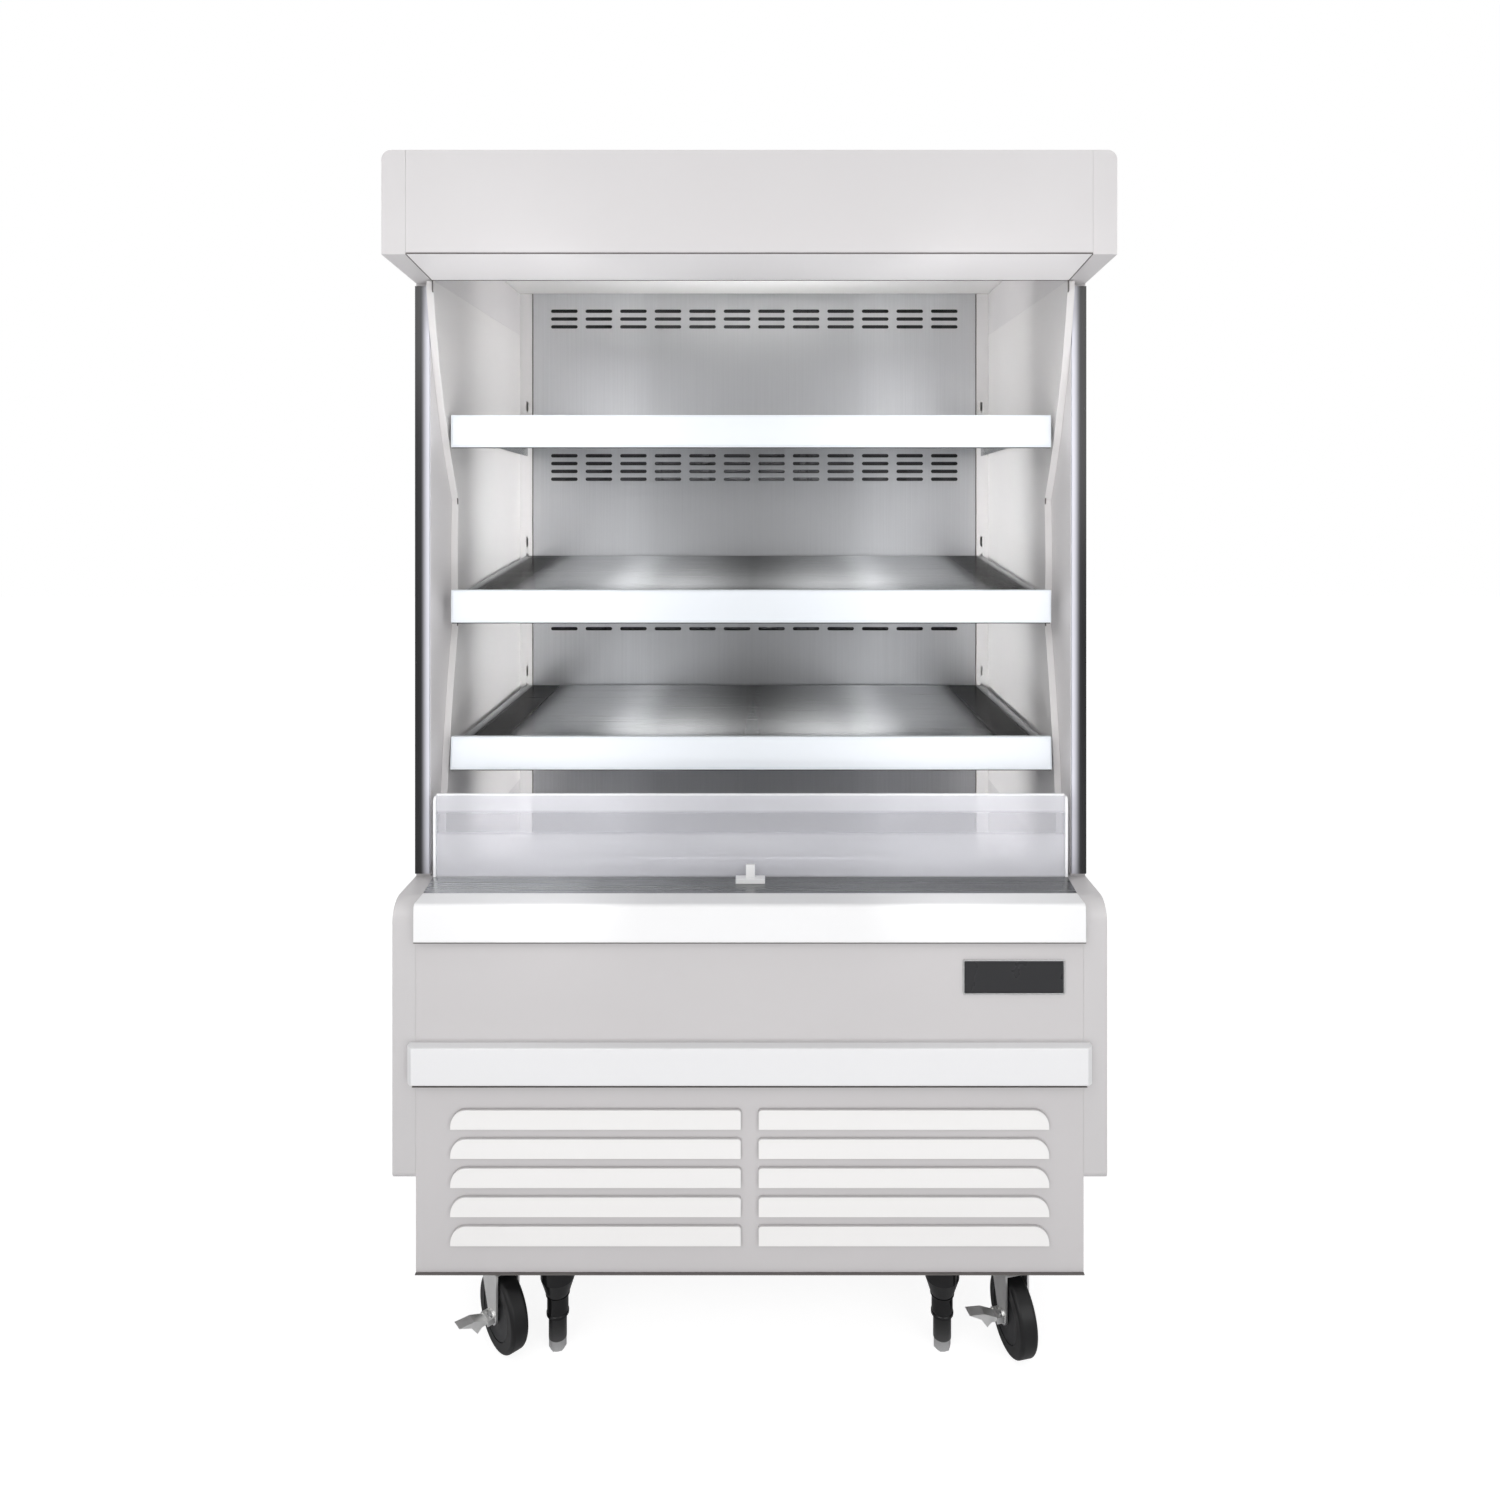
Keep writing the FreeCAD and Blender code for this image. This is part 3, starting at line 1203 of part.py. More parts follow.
CORNERS = (("front_left", "-caster_at", "face_y+caster_front", "caster_left_yaw", True),
           ("front_right", "caster_at", "face_y+caster_front", "caster_right_yaw", True),
           ("rear_left", "-caster_at", "rear_y-caster_rear", "caster_rear_yaw", False),
           ("rear_right", "caster_at", "rear_y-caster_rear", "caster_rear_yaw", False))
plates = []
for corner, across, deep, yaw, braked in CORNERS:
    plates.append(caster_plate("plate_" + corner, across, deep))
    fork("caster_fork_" + corner, across, deep, yaw, braked)
    wheel("caster_wheel_" + corner, across, deep, yaw)
    if braked:
        brake_lever("brake_lever_" + corner, across, deep, yaw)
group("caster_plates", plates)

# ---- front levelling legs ----------------------------------------------------------------------


def turned(owner, outline):
    """Solid of revolution about the upright axis through the origin."""
    profile = sketch(owner, "Y", [outline], "0")
    made = owner.newObject("PartDesign::Revolution", owner.Name + "_turned")
    made.Profile = profile
    made.ReferenceAxis = (profile, ["V_Axis"])
    made.Angle = 360
    owner.Tip = made


def leg_socket(name, across):
    owner = inner_body(name)
    turned(owner, [
        ("foot_radius+run_gap", "sleeve_low"), ("sleeve_radius", "sleeve_low"),
        ("sleeve_radius", "cup_foot_low"), ("cup_foot_radius", "cup_foot_low"), ("cup_radius", "cup_low"),
        ("cup_radius", "grille_low-cup_top_gap"), ("cup_neck_radius", "grille_low-cup_top_gap"),
        ("cup_neck_radius", "caster_top"), ("0", "caster_top"), ("0", "leg_bore_top"),
        ("foot_radius+run_gap", "leg_bore_top")])
    place(owner, across, "leg_y", "0", Vec(0, 0, 1), "0")
    return owner


def leg_foot(label, across):
    owner = body(label)
    turned(owner, [("0", "0"), ("foot_tip_radius", "0"), ("foot_tip_radius", "foot_low"),
                   ("foot_radius", "foot_low"), ("foot_radius", "foot_top"), ("0", "foot_top")])
    place(owner, across, "leg_y", "0", Vec(0, 0, 1), "0")


group("leg_sockets", [leg_socket("socket_left", "-leg_at"), leg_socket("socket_right", "leg_at")])
leg_foot("leg_foot_left", "-leg_at")
leg_foot("leg_foot_right", "leg_at")

# ---- night curtain -----------------------------------------------------------------------------

roller = body("curtain_roller")
pad(roller, "X", [("roller_y", "roller_high", "roller_radius")], "-roller_half", "roller_half")
pad(roller, "X", [("roller_y", "roller_high", "journal_radius")], "roller_half", "roller_half+journal_long")
pad(roller, "X", [("roller_y", "roller_high", "journal_radius")], "-roller_half-journal_long", "-roller_half")


def curtain_bracket(name, sign):
    owner = inner_body(name)
    low, high = span(sign, "fit_x-curtain_bracket_thick", "fit_x")
    pad(owner, "X", [rect("roller_y-curtain_bracket_half", "roller_y+curtain_bracket_half",
                          "roller_high-curtain_bracket_half", "roller_high+curtain_bracket_half")], low, high)
    pocket(owner, "X", [("roller_y", "roller_high", "journal_radius+run_gap")], low, high)
    return owner


group("curtain_brackets", [curtain_bracket("bracket_left", -1), curtain_bracket("bracket_right", 1)])

bar = body("curtain_bar")
pad(bar, "X", [rect("fabric_y-bar_deep/2", "fabric_y+bar_deep/2", "bar_low", "bar_low+bar_tall")],
    "-bar_half", "bar_half")

fabric = body("curtain_fabric")
pad(fabric, "X", [rect("fabric_y-seat_gap-fabric_sheet", "fabric_y-seat_gap",
                       "bar_low+bar_tall+seat_gap", "roller_high")], "-fabric_half", "fabric_half")


# ---- checks and export -------------------------------------------------------------------------

doc.recompute()
problems = []
for thing in doc.Objects:
    if "Invalid" in thing.State or "Error" in thing.State:
        problems.append("%s: %s" % (thing.Name, thing.State))
for label, thing in NODES.items():
    shape = thing.Shape
    if shape.isNull() or not shape.isValid() or not shape.Solids:
        problems.append("%s: no sound solid" % label)
if problems:
    raise SystemExit("\n".join(problems))

os.makedirs("parts", exist_ok=True)
for label, thing in NODES.items():
    thing.Shape.exportStep("parts/%s.step" % label)
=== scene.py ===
import bpy
import bmesh
import math
from mathutils import Vector, Matrix

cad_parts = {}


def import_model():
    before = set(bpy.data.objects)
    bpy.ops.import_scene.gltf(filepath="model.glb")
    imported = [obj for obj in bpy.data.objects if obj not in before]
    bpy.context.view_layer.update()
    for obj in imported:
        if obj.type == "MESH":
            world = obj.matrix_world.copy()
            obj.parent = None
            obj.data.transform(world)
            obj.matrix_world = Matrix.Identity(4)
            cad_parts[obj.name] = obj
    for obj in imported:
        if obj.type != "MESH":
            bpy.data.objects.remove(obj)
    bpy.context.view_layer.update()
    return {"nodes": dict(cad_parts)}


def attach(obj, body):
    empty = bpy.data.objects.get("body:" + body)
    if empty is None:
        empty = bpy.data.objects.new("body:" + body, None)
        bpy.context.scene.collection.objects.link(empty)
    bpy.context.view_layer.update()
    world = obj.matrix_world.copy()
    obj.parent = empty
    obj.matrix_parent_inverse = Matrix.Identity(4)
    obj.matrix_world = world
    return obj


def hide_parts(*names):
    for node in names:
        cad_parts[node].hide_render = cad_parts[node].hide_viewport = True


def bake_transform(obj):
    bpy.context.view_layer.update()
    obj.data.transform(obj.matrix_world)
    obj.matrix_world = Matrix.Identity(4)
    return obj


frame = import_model()
NODES = frame["nodes"]

# ---- materials --------------------------------------------------------------------------------


class Finish:
    """A Principled material with helpers for procedural detail in metres of object space."""

    def __init__(self, name, color, rough=0.4, metal=0.0):
        self.mat = bpy.data.materials.new(name)
        self.mat.use_nodes = True
        self.tree = self.mat.node_tree
        self.shader = self.tree.nodes["Principled BSDF"]
        self.shader.inputs["Base Color"].default_value = (*color, 1)
        self.shader.inputs["Roughness"].default_value = rough
        self.shader.inputs["Metallic"].default_value = metal
        self.coords = self.tree.nodes.new("ShaderNodeTexCoord")
        self.height = None

    def set(self, socket, value):
        self.shader.inputs[socket].default_value = value
        return self

    def noise(self, scale, stretch=(1, 1, 1), detail=3.0, rough=0.5):
        mapping = self.tree.nodes.new("ShaderNodeMapping")
        mapping.inputs["Scale"].default_value = stretch
        texture = self.tree.nodes.new("ShaderNodeTexNoise")
        texture.inputs["Scale"].default_value = scale
        texture.inputs["Detail"].default_value = detail
        texture.inputs["Roughness"].default_value = rough
        self.tree.links.new(self.coords.outputs["Object"], mapping.inputs["Vector"])
        self.tree.links.new(mapping.outputs["Vector"], texture.inputs["Vector"])
        return texture.outputs["Fac"]

    def spread(self, field, low, high, start=0.3, stop=0.7):
        """Map a field between two numbers."""
        ranged = self.tree.nodes.new("ShaderNodeMapRange")
        for name, value in (("From Min", start), ("From Max", stop), ("To Min", low), ("To Max", high)):
            ranged.inputs[name].default_value = value
        self.tree.links.new(field, ranged.inputs["Value"])
        return ranged.outputs["Result"]

    def tint(self, field, low, high, start=0.3, stop=0.7):
        """Blend the base colour between two shades over a field."""
        ramp = self.tree.nodes.new("ShaderNodeValToRGB")
        ramp.color_ramp.elements[0].position = start
        ramp.color_ramp.elements[1].position = stop
        ramp.color_ramp.elements[0].color = (*low, 1)
        ramp.color_ramp.elements[1].color = (*high, 1)
        self.tree.links.new(field, ramp.inputs["Fac"])
        self.tree.links.new(ramp.outputs["Color"], self.shader.inputs["Base Color"])
        return self

    def roughen(self, field, low, high):
        self.tree.links.new(self.spread(field, low, high), self.shader.inputs["Roughness"])
        return self

    def bump(self, field, depth):
        node = self.tree.nodes.new("ShaderNodeBump")
        node.inputs["Strength"].default_value = 1.0
        node.inputs["Distance"].default_value = depth
        self.tree.links.new(field, node.inputs["Height"])
        if self.height is not None:
            self.tree.links.new(self.height, node.inputs["Normal"])
        self.height = node.outputs["Normal"]
        self.tree.links.new(self.height, self.shader.inputs["Normal"])
        return self


def shade(color, factor):
    """The colour made lighter or darker, held at 1."""
    return tuple(min(1.0, c * factor) for c in color)


def painted(name, color, rough=0.36, peel=0.00006, mottle=0.025):
    """Oven-baked paint: fine orange peel, faint clouding of colour and gloss."""
    made = Finish(name, color, rough)
    made.tint(made.noise(2.2, detail=5), shade(color, 1 - mottle), shade(color, 1 + mottle))
    made.roughen(made.noise(7, detail=5), rough - 0.05, rough + 0.09)
    made.bump(made.noise(420, detail=2), peel)
    made.set("Coat Weight", 0.15).set("Coat Roughness", 0.25)
    return made


def brushed(name, color, grain, rough=0.3, depth=0.00002, streak=0.12):
    """Sheet steel with its grain drawn out along one direction; grain gives the stretch of the noise."""
    made = Finish(name, color, rough, 1.0)
    lines = made.noise(1.0, grain, detail=6, rough=0.65)
    clouds = made.noise(1.7, detail=3)
    mixed = made.tree.nodes.new("ShaderNodeMath")
    mixed.operation = "MULTIPLY_ADD"
    mixed.inputs[1].default_value = 0.45
    made.tree.links.new(clouds, mixed.inputs[0])
    scaled = made.tree.nodes.new("ShaderNodeMath")
    scaled.operation = "MULTIPLY"
    scaled.inputs[1].default_value = 0.55
    made.tree.links.new(lines, scaled.inputs[0])
    made.tree.links.new(scaled.outputs[0], mixed.inputs[2])
    made.tint(mixed.outputs[0], shade(color, 1 - streak), shade(color, 1 + streak))
    made.roughen(lines, rough - 0.05, rough + 0.1)
    made.bump(lines, depth)
    return made


def plastic(name, color, rough=0.3, grain=600, depth=0.00003, mottle=0.02, vary=1.0):
    """Moulded plastic with a fine grain; vary scales how much its gloss wanders."""
    made = Finish(name, color, rough)
    made.tint(made.noise(5, detail=4), shade(color, 1 - mottle), shade(color, 1 + mottle))
    made.roughen(made.noise(14, detail=4), rough - 0.05 * vary, rough + 0.08 * vary)
    made.bump(made.noise(grain, detail=2), depth)
    return made


def banded(made, span, stops, axis="X"):
    """Multiply the base colour by soft bands, given as (spot, level) with spots from 0 to 1.

    A positive span lays them out from the middle plane, or from the floor along Z, up to that distance;
    a negative one from side to side."""
    split = made.tree.nodes.new("ShaderNodeSeparateXYZ")
    made.tree.links.new(made.coords.outputs["Object"], split.inputs[0])
    field = split.outputs[axis]
    if span > 0:
        size = made.tree.nodes.new("ShaderNodeMath")
        size.operation = "ABSOLUTE"
        made.tree.links.new(field, size.inputs[0])
        field = size.outputs[0]
    ramp = made.tree.nodes.new("ShaderNodeValToRGB")
    ramp.color_ramp.interpolation = "B_SPLINE"
    while len(ramp.color_ramp.elements) < len(stops):
        ramp.color_ramp.elements.new(0.5)
    for element, (spot, level) in zip(ramp.color_ramp.elements, stops):
        element.position = spot
        element.color = (level, level, level, 1)
    low, high = (0, span) if span > 0 else (span, -span)
    made.tree.links.new(made.spread(field, 0, 1, low, high), ramp.inputs["Fac"])
    mix = made.tree.nodes.new("ShaderNodeMix")
    mix.data_type = "RGBA"
    mix.blend_type = "MULTIPLY"
    mix.inputs[0].default_value = 1.0
    source = made.shader.inputs["Base Color"].links[0].from_socket
    made.tree.links.new(source, mix.inputs[6])
    made.tree.links.new(ramp.outputs["Color"], mix.inputs[7])
    made.tree.links.new(mix.outputs[2], made.shader.inputs["Base Color"])
    return made


PAINT = (0.675, 0.657, 0.662)
M = {
    "cabinet_paint": painted("cabinet_paint", PAINT, mottle=0.012),
    "front_paint": painted("front_paint", (0.585, 0.567, 0.571), mottle=0.012),
    "side_paint": painted("side_paint", PAINT, mottle=0.012),
    "liner_paint": painted("liner_paint", (0.74, 0.724, 0.72), 0.42, mottle=0.012),
    "upright_paint": painted("upright_paint", (0.55, 0.54, 0.54), 0.42, mottle=0.012),
    # The soffit and ceiling paints are lighter than the cabinet paint they match: painted light on
    # surfaces that face down.
    "soffit_paint": painted("soffit_paint", (0.86, 0.842, 0.848), mottle=0.012),
    "ceiling_paint": painted("ceiling_paint", (0.92, 0.91, 0.895), 0.42, mottle=0.012),
    "black_trim": plastic("black_trim", (0.72, 0.72, 0.79), 0.2, 300, 0.000003, 0.01, 0.3),
    "back_steel": brushed("back_steel", (0.80, 0.81, 0.83), (260, 40, 2.2), 0.36, streak=0.08),
    "sill_steel": brushed("sill_steel", (0.56, 0.57, 0.57), (1.4, 300, 300), 0.24),
    "pan_steel": brushed("pan_steel", (0.62, 0.62, 0.63), (1.4, 200, 200), 0.3),
    "shelf_steel": brushed("shelf_steel", (0.80, 0.81, 0.82), (1.8, 240, 240), 0.2, streak=0.08),
    "price_rail": plastic("price_rail", (0.83, 0.865, 0.905), 0.42, 500, 0.000002, 0.004, 0.2),
    "white_trim": plastic("white_trim", (0.88, 0.88, 0.885), 0.42, 420, 0.000003, 0.004, 0.2),
    "bumper_white": plastic("bumper_white", (0.80, 0.80, 0.81), 0.42, 420, 0.000003, 0.004, 0.2),
    "louvre_white": painted("louvre_white", (0.855, 0.845, 0.835), 0.4, mottle=0.008),
    "return_white": painted("return_white", (0.93, 0.93, 0.95), 0.35, mottle=0.01),
    "bead_dark": plastic("bead_dark", (0.13, 0.12, 0.115), 0.5),
    "fin_alloy": brushed("fin_alloy", (0.68, 0.69, 0.70), (300, 300, 3), 0.35),
    "fan_black": plastic("fan_black", (0.02, 0.02, 0.022), 0.45, 700, 0.00005),
    "galvanised": brushed("galvanised", (0.50, 0.515, 0.52), (22, 22, 22), 0.45, 0.00003, 0.2),
    "compressor_black": painted("compressor_black", (0.015, 0.015, 0.016), 0.28),
    "copper": brushed("copper", (0.78, 0.42, 0.27), (60, 60, 60), 0.28, 0.00001, 0.15),
    "gland_rubber": plastic("gland_rubber", (0.022, 0.022, 0.022), 0.6, 900, 0.0001),
    "screw_steel": brushed("screw_steel", (0.66, 0.66, 0.67), (500, 500, 500), 0.25),
    "caster_zinc": brushed("caster_zinc", (0.90, 0.90, 0.89), (35, 35, 35), 0.38, 0.00002, 0.08),
    "caster_tread": plastic("caster_tread", (0.008, 0.008, 0.0085), 0.34, 500, 0.00004, 0.2),
    "caster_core": plastic("caster_core", (0.030, 0.030, 0.032), 0.38, 500, 0.00004, 0.1),
    "leg_black": plastic("leg_black", (0.007, 0.007, 0.0075), 0.15, 450, 0.00001, 0.15, 0.4),
    "foot_chrome": brushed("foot_chrome", (0.78, 0.78, 0.78), (6, 6, 500), 0.14, 0.00001, 0.06),
    "bar_alloy": brushed("bar_alloy", (0.74, 0.745, 0.75), (1.5, 400, 400), 0.3),
    "dark_badge": plastic("dark_badge", (0.018, 0.018, 0.020), 0.25, 300, 0.00002),
    "badge_rim": brushed("badge_rim", (0.70, 0.70, 0.70), (8, 8, 300), 0.2),
    # Dark for the painted shadow lines under the price rails and for the bar's end caps.
    "shadow_and_cap_dark": plastic("shadow_and_cap_dark", (0.03, 0.03, 0.032), 0.5, 600, 0.00005),
    # Near black for the painted shade seen through the back panel's slots.
    "duct_painted_shade": painted("duct_painted_shade", (0.035, 0.035, 0.037), 0.7),
}


for name in ("caster_tread", "caster_core", "leg_black"):
    M[name].set("Specular IOR Level", 0.32)
# Soft light and dark bands multiplied into the base colour, placed by the object's own coordinates:
# painted reflections and shade on the steel, the trims and the side panels; on the feet, their own black
# sleeve.
BACK_HALF, TRIM_HALF, SILL_HALF = 0.56, 0.61, 0.57
CABINET_TALL, FOOT_TALL = 2.044, 0.10
# The back panel: painted reflections, darker in the middle and lighter towards its sides.
banded(M["back_steel"], BACK_HALF, ((0, 0.60), (0.2, 0.62), (0.42, 0.70), (0.55, 0.92), (0.8, 0.94),
                                    (1, 0.86)))
# The shelves: painted reflections and shade in bands across their width.
banded(M["shelf_steel"], BACK_HALF, ((0, 0.18), (0.1, 0.24), (0.24, 0.54), (0.34, 0.56), (0.42, 1.0),
                                     (0.48, 1.0), (0.56, 0.74), (0.7, 0.74), (0.78, 0.66), (0.84, 0.05),
                                     (0.955, 0.03), (0.97, 0.72), (1, 0.78)))
# The same painted reflection bands also tint the shelves' specular.
shelf = M["shelf_steel"].set("Metallic", 0.75)
shelf_painted_sheen = shelf.shader.inputs["Base Color"].links[0].from_socket
shelf.tree.links.new(shelf_painted_sheen, shelf.shader.inputs["Specular Tint"])
# The sill: painted reflection, lighter towards its left end.
banded(M["sill_steel"], -SILL_HALF, ((0, 1.0), (0.17, 1.0), (0.23, 0.90), (0.27, 0.70), (0.42, 0.56),
                                     (1, 0.48)))
# The side trims: black on their outer part, fading to pale lavender on their inner part as a painted
# highlight.
banded(M["black_trim"], TRIM_HALF, ((0, 1), (0.955, 1), (0.964, 0.9), (0.971, 0.45),
                                    (0.977, 0.1), (0.981, 0.016), (1, 0.016)))
# The feet's band is their own colour: a black sleeve above the chrome tip.
banded(M["foot_chrome"], FOOT_TALL, ((0, 1), (0.178, 1), (0.19, 0.05), (1, 0.04)), "Z")
# The side panels: painted shade, darker below about 0.8 m.
banded(M["side_paint"], CABINET_TALL, ((0, 0.86), (0.375, 0.86), (0.415, 1), (1, 1)), "Z")


GUARD_LOW, GUARD_TOP = 0.779, 0.933


def clear_guard():
    """Acrylic mixed with a milky diffuse layer in level bands, lighter at top and bottom and darker
    between: painted reflections and shade.
    """
    made = Finish("clear_guard", (0.94, 0.94, 0.985), 0.02)
    made.set("Transmission Weight", 1.0).set("IOR", 1.45)
    made.roughen(made.noise(3, detail=3), 0.01, 0.05)
    made.bump(made.noise(6, detail=1), 0.00002)
    # White diffuse layer that carries the painted reflections.
    painted_reflection_layer = made.tree.nodes.new("ShaderNodeBsdfDiffuse")
    painted_reflection_layer.inputs["Color"].default_value = (0.94, 0.94, 0.985, 1)
    mix = made.tree.nodes.new("ShaderNodeMixShader")
    split = made.tree.nodes.new("ShaderNodeSeparateXYZ")
    made.tree.links.new(made.coords.outputs["Object"], split.inputs[0])
    ramp = made.tree.nodes.new("ShaderNodeValToRGB")
    for spot, level in ((0.22, 0.40), (0.52, 0.36), (0.56, 0.23), (0.78, 0.22), (0.82, 0.42)):
        element = ramp.color_ramp.elements.new(spot)
        element.color = (level, level, level, 1)
    ramp.color_ramp.elements[0].color = (0.44, 0.44, 0.44, 1)
    ramp.color_ramp.elements[-1].color = (0.48, 0.48, 0.48, 1)
    made.tree.links.new(made.spread(split.outputs["Z"], 0, 1, GUARD_LOW, GUARD_TOP), ramp.inputs["Fac"])
    cloud = made.tree.nodes.new("ShaderNodeMath")
    cloud.operation = "MULTIPLY"
    made.tree.links.new(made.spread(made.noise(2.5, (1, 1, 3), detail=2), 0.88, 1.08), cloud.inputs[0])
    made.tree.links.new(ramp.outputs["Color"], cloud.inputs[1])
    made.tree.links.new(cloud.outputs[0], mix.inputs[0])
    out = made.tree.nodes["Material Output"]
    made.tree.links.new(made.shader.outputs[0], mix.inputs[1])
    made.tree.links.new(painted_reflection_layer.outputs[0], mix.inputs[2])
    made.tree.links.new(mix.outputs[0], out.inputs["Surface"])
    return made


def lamp_glow():
    """Opal cover of the canopy lamp, glowing faintly."""
    made = Finish("lamp_opal", (0.93, 0.94, 0.95), 0.35)
    made.set("Emission Color", (0.97, 0.985, 1.0, 1)).set("Emission Strength", 1.6)
    made.bump(made.noise(900, detail=1), 0.00001)
    return made


def woven(name, color, pitch=0.0016):
    """Plain weave: crossed waves for warp and weft, with a little slub."""
    made = Finish(name, color, 0.75)
    heights = []
    for turn in ((0, 0, 0), (0, math.radians(90), 0)):
        mapping = made.tree.nodes.new("ShaderNodeMapping")
        mapping.inputs["Rotation"].default_value = turn
        wave = made.tree.nodes.new("ShaderNodeTexWave")
        wave.bands_direction = "X"
        wave.inputs["Scale"].default_value = 1 / pitch / 6.283
        wave.inputs["Distortion"].default_value = 0.6
        wave.inputs["Detail Scale"].default_value = 3.0
        made.tree.links.new(made.coords.outputs["Object"], mapping.inputs["Vector"])
        made.tree.links.new(mapping.outputs["Vector"], wave.inputs["Vector"])
        heights.append(wave.outputs["Fac"])
    joined = made.tree.nodes.new("ShaderNodeMath")
    joined.operation = "MAXIMUM"
    made.tree.links.new(heights[0], joined.inputs[0])
    made.tree.links.new(heights[1], joined.inputs[1])
    made.tint(joined.outputs[0], shade(color, 0.8), shade(color, 1.08), 0.2, 0.9)
    made.bump(joined.outputs[0], 0.0002)
    made.bump(made.noise(60, detail=4), 0.0003)
    made.set("Sheen Weight", 0.25).set("Sheen Roughness", 0.5)
    return made


M["clear_guard"] = clear_guard()
M["lamp_opal"] = lamp_glow()
M["curtain_cloth"] = woven("curtain_cloth", (0.45, 0.46, 0.49))

NODE_FINISH = {
    "cabinet_paint": "roof_panel rear_wall canopy_fascia",
    "soffit_paint": "canopy_soffit",
    "ceiling_paint": "ceiling_panel",
    "side_paint": "side_panel_left side_panel_right",
    "front_paint": "front_panel lower_grille base_frame",
    "liner_paint": "side_liner_left side_liner_right lower_tub",
    "upright_paint": "shelf_uprights",
    "black_trim": "side_trims",
    "back_steel": "back_panel",
    "sill_steel": "front_sill",
    "pan_steel": "deck_pan fan_plate",
    "shelf_steel": "shelf_top shelf_middle shelf_bottom",
    "price_rail": "shelf_rail_top shelf_rail_middle shelf_rail_bottom",
    "white_trim": "front_rail curtain_brackets curtain_catch discharge_honeycomb",
    "bumper_white": "bumper_rail",
    "return_white": "return_grille",
    "clear_guard": "front_glass",
    "louvre_white": "canopy_lamp",
    "fin_alloy": "evaporator_coil condenser_coil",
    "fan_black": "evaporator_fan_left evaporator_fan_right condenser_fan",
    "galvanised": "condenser_shroud",
    "compressor_black": "compressor",
    "copper": "refrigerant_lines",
    "gland_rubber": "cable_gland",
    "screw_steel": "panel_screws",
    "caster_zinc": "caster_plates caster_fork_front_left caster_fork_front_right caster_fork_rear_left "
                   "caster_fork_rear_right brake_lever_front_left brake_lever_front_right",
    "caster_tread": "caster_wheel_front_left caster_wheel_front_right caster_wheel_rear_left "
                    "caster_wheel_rear_right",
    "leg_black": "leg_sockets",
    "foot_chrome": "leg_foot_left leg_foot_right",
    "curtain_cloth": "curtain_fabric curtain_roller",
    "bar_alloy": "curtain_bar",
}
for finish, names in NODE_FINISH.items():
    for name in names.split():
        for socket in NODES[name].material_slots:
            socket.material = M[finish].mat

# ---- places shared by several pieces, in metres -------------------------------------------------

ALONG_X, ALONG_Z = (1, 0, 0), (0, 0, 1)
INNER_HALF = 0.5692
SHELF_PIVOT_Y = 0.3512
SHELVES = (("top", 1.651, 4), ("middle", 1.323, 4), ("bottom", 1.009, 0))
CASTERS = (("front_left", -0.447, -0.3435, 41), ("front_right", 0.447, -0.3435, 13),
           ("rear_left", -0.447, 0.340, 0), ("rear_right", 0.447, 0.340, 0))
WHEEL_TRAIL, WHEEL_RADIUS = -0.032, 0.0635
LEGS = (("left", -0.3325), ("right", 0.3325))
LEG_Y = -0.368
ROLLER_Y, ROLLER_Z = -0.279, 1.925

# ---- mesh helpers -----------------------------------------------------------------------------


def piece(name, verts, faces, finish, body, smooth=None, bevel=0.0, segments=2):
    """New mesh piece that rides on a body; smooth is the angle in degrees under which edges are smooth."""
    mesh = bpy.data.meshes.new(name)
    mesh.from_pydata([tuple(v) for v in verts], [], faces)
    mesh.validate()
    work = bmesh.new()
    work.from_mesh(mesh)
    bmesh.ops.recalc_face_normals(work, faces=work.faces)
    work.to_mesh(mesh)
    work.free()
    made = bpy.data.objects.new(name, mesh)
    bpy.context.scene.collection.objects.link(made)
    mesh.materials.append(M[finish].mat)
    if bevel:
        edge = made.modifiers.new("edge", "BEVEL")
        edge.width = bevel
        edge.segments = segments
        edge.limit_method = "ANGLE"
        edge.angle_limit = math.radians(35)
    if smooth:
        limit = math.radians(smooth)
        work = bmesh.new()
        work.from_mesh(mesh)
        for face in work.faces:
            face.smooth = True
        for edge in work.edges:
            edge.smooth = edge.is_manifold and edge.calc_face_angle(0) < limit
        work.to_mesh(mesh)
        work.free()
    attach(made, body)
    return made


class Shape:
    """Collects closed solids into one mesh."""

    def __init__(self):
        self.verts = []
        self.faces = []

    def add(self, verts, faces):
        start = len(self.verts)
        self.verts += [Vector(v) for v in verts]
        self.faces += [tuple(start + i for i in face) for face in faces]
        return self

    def prism(self, outline, axis, low, high):
        """Outline (pairs) in the two other axes, in X, Y, Z order, run from low to high along axis."""
        count = len(outline)

        def spot(pair, level):
            coords = list(pair)
            coords.insert("XYZ".index(axis), level)
            return coords

        verts = [spot(p, low) for p in outline] + [spot(p, high) for p in outline]
        faces = [tuple(range(count)), tuple(range(count, 2 * count))]
        faces += [(i, (i + 1) % count, count + (i + 1) % count, count + i) for i in range(count)]
        return self.add(verts, faces)

    def lathe(self, profile, centre, axis, around=48):
        """Closed profile of (radius, level) turned about an axis through centre."""
        axis = Vector(axis).normalized()
        side = axis.orthogonal().normalized()
        other = axis.cross(side)
        centre = Vector(centre)
        verts = []
        for k in range(around):
            angle = 2 * math.pi * k / around
            out = side * math.cos(angle) + other * math.sin(angle)
            verts += [centre + out * r + axis * z for r, z in profile]
        n = len(profile)
        faces = []
        for k in range(around):
            a, b = k * n, ((k + 1) % around) * n
            faces += [(a + i, a + (i + 1) % n, b + (i + 1) % n, b + i) for i in range(n)]
        return self.add(verts, faces)

    def make(self, name, finish, body, **looks):
        return piece(name, self.verts, self.faces, finish, body, **looks)


